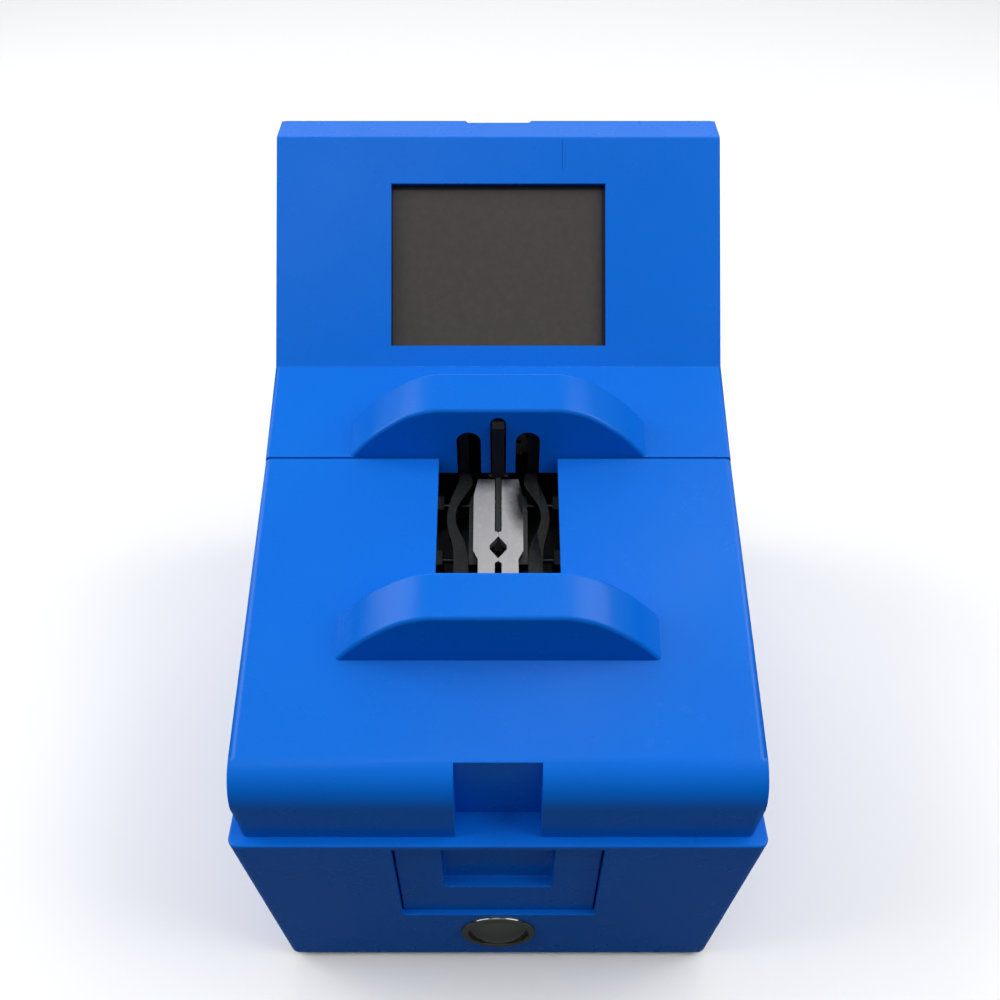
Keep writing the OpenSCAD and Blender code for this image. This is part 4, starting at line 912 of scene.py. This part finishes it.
def smoothChain(points, steps=5):
    chain = []
    for i in range(len(points) - 1):
        p0, p1 = Vector(points[max(i - 1, 0)]), Vector(points[i])
        p2, p3 = Vector(points[i + 1]), Vector(points[min(i + 2, len(points) - 1)])
        for k in range(steps):
            t = k / steps
            chain.append(0.5 * (2 * p1 + (p2 - p0) * t + (2 * p0 - 5 * p1 + 4 * p2 - p3) * t * t
                                + (3 * p1 - p0 - 3 * p2 + p3) * t ** 3))
    chain.append(Vector(points[-1]))
    return chain


def gearOutline(pitch, teeth, turn):
    root, tip = pitch - 1.1, pitch + 0.75
    half = math.pi * pitch / teeth / 2 - 0.28
    outline = []
    for k in range(teeth):
        centre = math.radians(turn) + 2 * math.pi * k / teeth
        for radius, width in ((root, -half - 0.12), (tip, -half * 0.42), (tip, half * 0.42), (root, half + 0.12)):
            angle = centre + width / radius
            outline.append(Vector((radius * math.cos(angle), radius * math.sin(angle))))
    return outline


def mirrored(point, side):
    return Vector((point[0] * side, point[1], point[2]))


def makeClaw(side, turn):
    def place(x, y, z):
        return deckFrame @ mirrored((x, y, z), side)

    top, bottom = claw["top"], claw["top"] - claw["thick"]
    arm = smoothChain(clawOuter) + smoothChain(clawInner)
    bm, made = ringsMesh([[place(p.x, p.y, z) for p in arm] for z in (bottom, top)])
    body = addMesh("leftClawArm" if side < 0 else "rightClawArm", bm)
    prong = [(1.8, bottom), (1.4, -14), (3.6, -6), (9.7, 13.6), (11.2, 16.6), (13.4, 16.9), (14.3, 15.2),
             (12.6, 8), (7.0, -14), (6.4, bottom)]
    bm, made = ringsMesh([[place(x, p[0], p[1]) for p in prong] for x in (15.35, 20.35)])
    parts = [addMesh("prong", bm)]
    for radius, low, high in ((10, bottom - 0.01, top + 0.01), (5.5, claw["gearZ"], bottom)):
        ring = [[place(claw["pivotX"] + radius * math.cos(2 * math.pi * k / 64),
                       claw["pivotY"] + radius * math.sin(2 * math.pi * k / 64), z) for k in range(64)]
                for z in (low, high)]
        bm, made = ringsMesh(ring)
        parts.append(addMesh("hub", bm))
    ring = [[place(claw["pivotX"] + p.x, claw["pivotY"] + p.y, z)
             for p in gearOutline(13.0, 26, turn)] for z in (claw["gearZ"], claw["gearZ"] + 6)]
    bm, made = ringsMesh(ring)
    parts.append(addMesh("toothedRing", bm))
    combine(body, "UNION", *parts)
    bore = [[place(claw["pivotX"] + 2.55 * math.cos(2 * math.pi * k / 48),
                   claw["pivotY"] + 2.55 * math.sin(2 * math.pi * k / 48), z) for k in range(48)]
            for z in (-60, -10)]
    bm, made = ringsMesh(bore)
    combine(body, "DIFFERENCE", addMesh("cutPivot", bm))
    name = "left_claw" if side < 0 else "right_claw"
    return finishPiece(body, "blackMetal", name + "_arm", (name,), 0.7, 3, 30)


makeClaw(1, 0)
makeClaw(-1, 180 / 26)

# Carried-over parts

carried = {
    "blueShell": ["rear_door"],
    "turnedSteel": ["door_hinge_pins", "foot_screws", "housing_screws", "lid_dowels", "display_screws",
                    "bracket_screws", "claw_pivot_pins", "blade_rail", "button_spring",
                    "right_jaw_screws", "left_jaw_screws"],
    "oiledSteel": ["jaw_rods", "left_jaw_carrier", "right_jaw_carrier"],
    "blackPlastic": ["drawer_tray", "button_switch", "power_inlet", "jaw_rod_blocks", "board_parts"],
    "zincSheet": ["drawer_runners", "side_brackets", "display_frame", "power_supply"],
    "rubberBlack": ["rubber_feet", "drive_cables"],
    "screenBorder": ["display_gasket", "display_panel", "blade"],
    "circuitBoard": ["display_board", "main_board"],
    "blackMetal": ["mechanism_plate"],
    "gearPlastic": ["claw_drive_gear", "jaw_pinion", "blade_pinion"],
    "motorCan": ["claw_motor", "jaw_motor", "blade_motor"],
    "jawSteel": ["left_jaw", "right_jaw"],
    "machinedAlloy": ["blade_carrier"],
    "brassPost": ["board_standoffs"],
    "magnetBlock": ["door_magnet"],
    "redRocker": ["power_switch"],
}
softened = {"rear_door": 0.7, "left_jaw": 0.45, "right_jaw": 0.45, "blade": 0.4, "drawer_tray": 0.6,
            "mechanism_plate": 0.3, "side_brackets": 0.3, "power_inlet": 0.4, "rubber_feet": 0.6,
            "power_supply": 0.4, "left_jaw_carrier": 0.3, "right_jaw_carrier": 0.3, "power_switch": 0.6,
            "button_switch": 0.4, "claw_motor": 0.4, "jaw_motor": 0.4, "blade_motor": 0.4,
            "foot_screws": 0.2, "housing_screws": 0.2, "board_parts": 0.3, "jaw_rod_blocks": 0.3,
            "door_magnet": 0.3, "lid_dowels": 0.5}


def dressNode(name, material):
    obj = nodes[name]
    setMaterial(obj, material)
    flat = obj.modifiers.new("joinFlats", "DECIMATE")
    flat.decimate_type = "DISSOLVE"
    flat.angle_limit = math.radians(0.6)
    if name in softened:
        softenEdges(obj, softened[name], 2, 35)
    else:
        for face in obj.data.polygons:
            face.use_smooth = True
        level = obj.modifiers.new("evenNormals", "WEIGHTED_NORMAL")
        level.keep_sharp = True


for material, names in carried.items():
    for name in names:
        dressNode(name, material)
print("carried-over parts dressed")

# Stage, light and camera

stage = {"paperSeen": (0.95, 0.95, 0.95, 1), "paperBounce": (0.11, 0.12, 0.13, 1), "sidePower": 20.0,
         "backPower": 14.0, "stripPower": 3.5, "skyHigh": 0.42, "skyLow": 0.02}


def makeStage():
    bpy.ops.mesh.primitive_plane_add(size=12, location=(0, 0, 0))
    floor = bpy.context.active_object
    floor.name = "studioFloor"
    paper = bpy.data.materials.new("studioPaper")
    paper.use_nodes = True
    tree = paper.node_tree
    shader = tree.nodes["Principled BSDF"]
    path = tree.nodes.new("ShaderNodeLightPath")
    tree.links.new(mixColour(tree, path.outputs["Is Camera Ray"], stage["paperBounce"],
                             stage["paperSeen"]), shader.inputs["Base Color"])
    shader.inputs["Roughness"].default_value = 0.9
    shader.inputs["Specular IOR Level"].default_value = 0.1
    floor.data.materials.append(paper)
    world = bpy.data.worlds.new("studioSky")
    world.use_nodes = True
    tree = world.node_tree
    place = tree.nodes.new("ShaderNodeTexCoord")
    split = tree.nodes.new("ShaderNodeSeparateXYZ")
    tree.links.new(place.outputs["Generated"], split.inputs[0])
    strength = rangeNode(tree, split.outputs["Z"], 0.0, 0.9, stage["skyLow"], stage["skyHigh"])
    tree.links.new(strength, tree.nodes["Background"].inputs["Strength"])
    tree.nodes["Background"].inputs["Color"].default_value = (0.95, 0.97, 1.0, 1)
    scene.world = world


def makeLight(name, place, target, size, power):
    data = bpy.data.lights.new(name, "AREA")
    data.shape = "RECTANGLE"
    data.size, data.size_y = size
    data.energy = power
    obj = bpy.data.objects.new(name, data)
    obj.location = place
    aim = Vector(target) - Vector(place)
    obj.rotation_euler = aim.to_track_quat("-Z", "Y").to_euler()
    scene.collection.objects.link(obj)


def makeCamera():
    data = bpy.data.cameras.new("camera")
    data.sensor_width = 36.0
    data.lens = 36.58
    camera = bpy.data.objects.new("camera", data)
    camera.location = Vector((0.9, baseLow.y - 218.7, rimZ + 445.7)) * mm
    camera.rotation_euler = (math.radians(45), 0, 0)
    scene.collection.objects.link(camera)
    scene.camera = camera


makeStage()
makeLight("leftSoft", (-1.35, 0.05, 1.25), (0, 0, 0.15), (1.3, 1.3), stage["sidePower"])
makeLight("rightSoft", (1.25, -0.10, 1.45), (0, 0, 0.15), (1.3, 1.3), stage["sidePower"])
makeLight("overStrip", (0.1, -0.22, 2.1), (0.0, -0.12, 0.2), (2.2, 0.14), stage["stripPower"])
makeLight("backSoft", (0.0, 1.7, 1.6), (0, 0, 0.2), (2.6, 1.1), stage["backPower"])
makeCamera()
scene.view_settings.view_transform = "Standard"

print("scene ready")
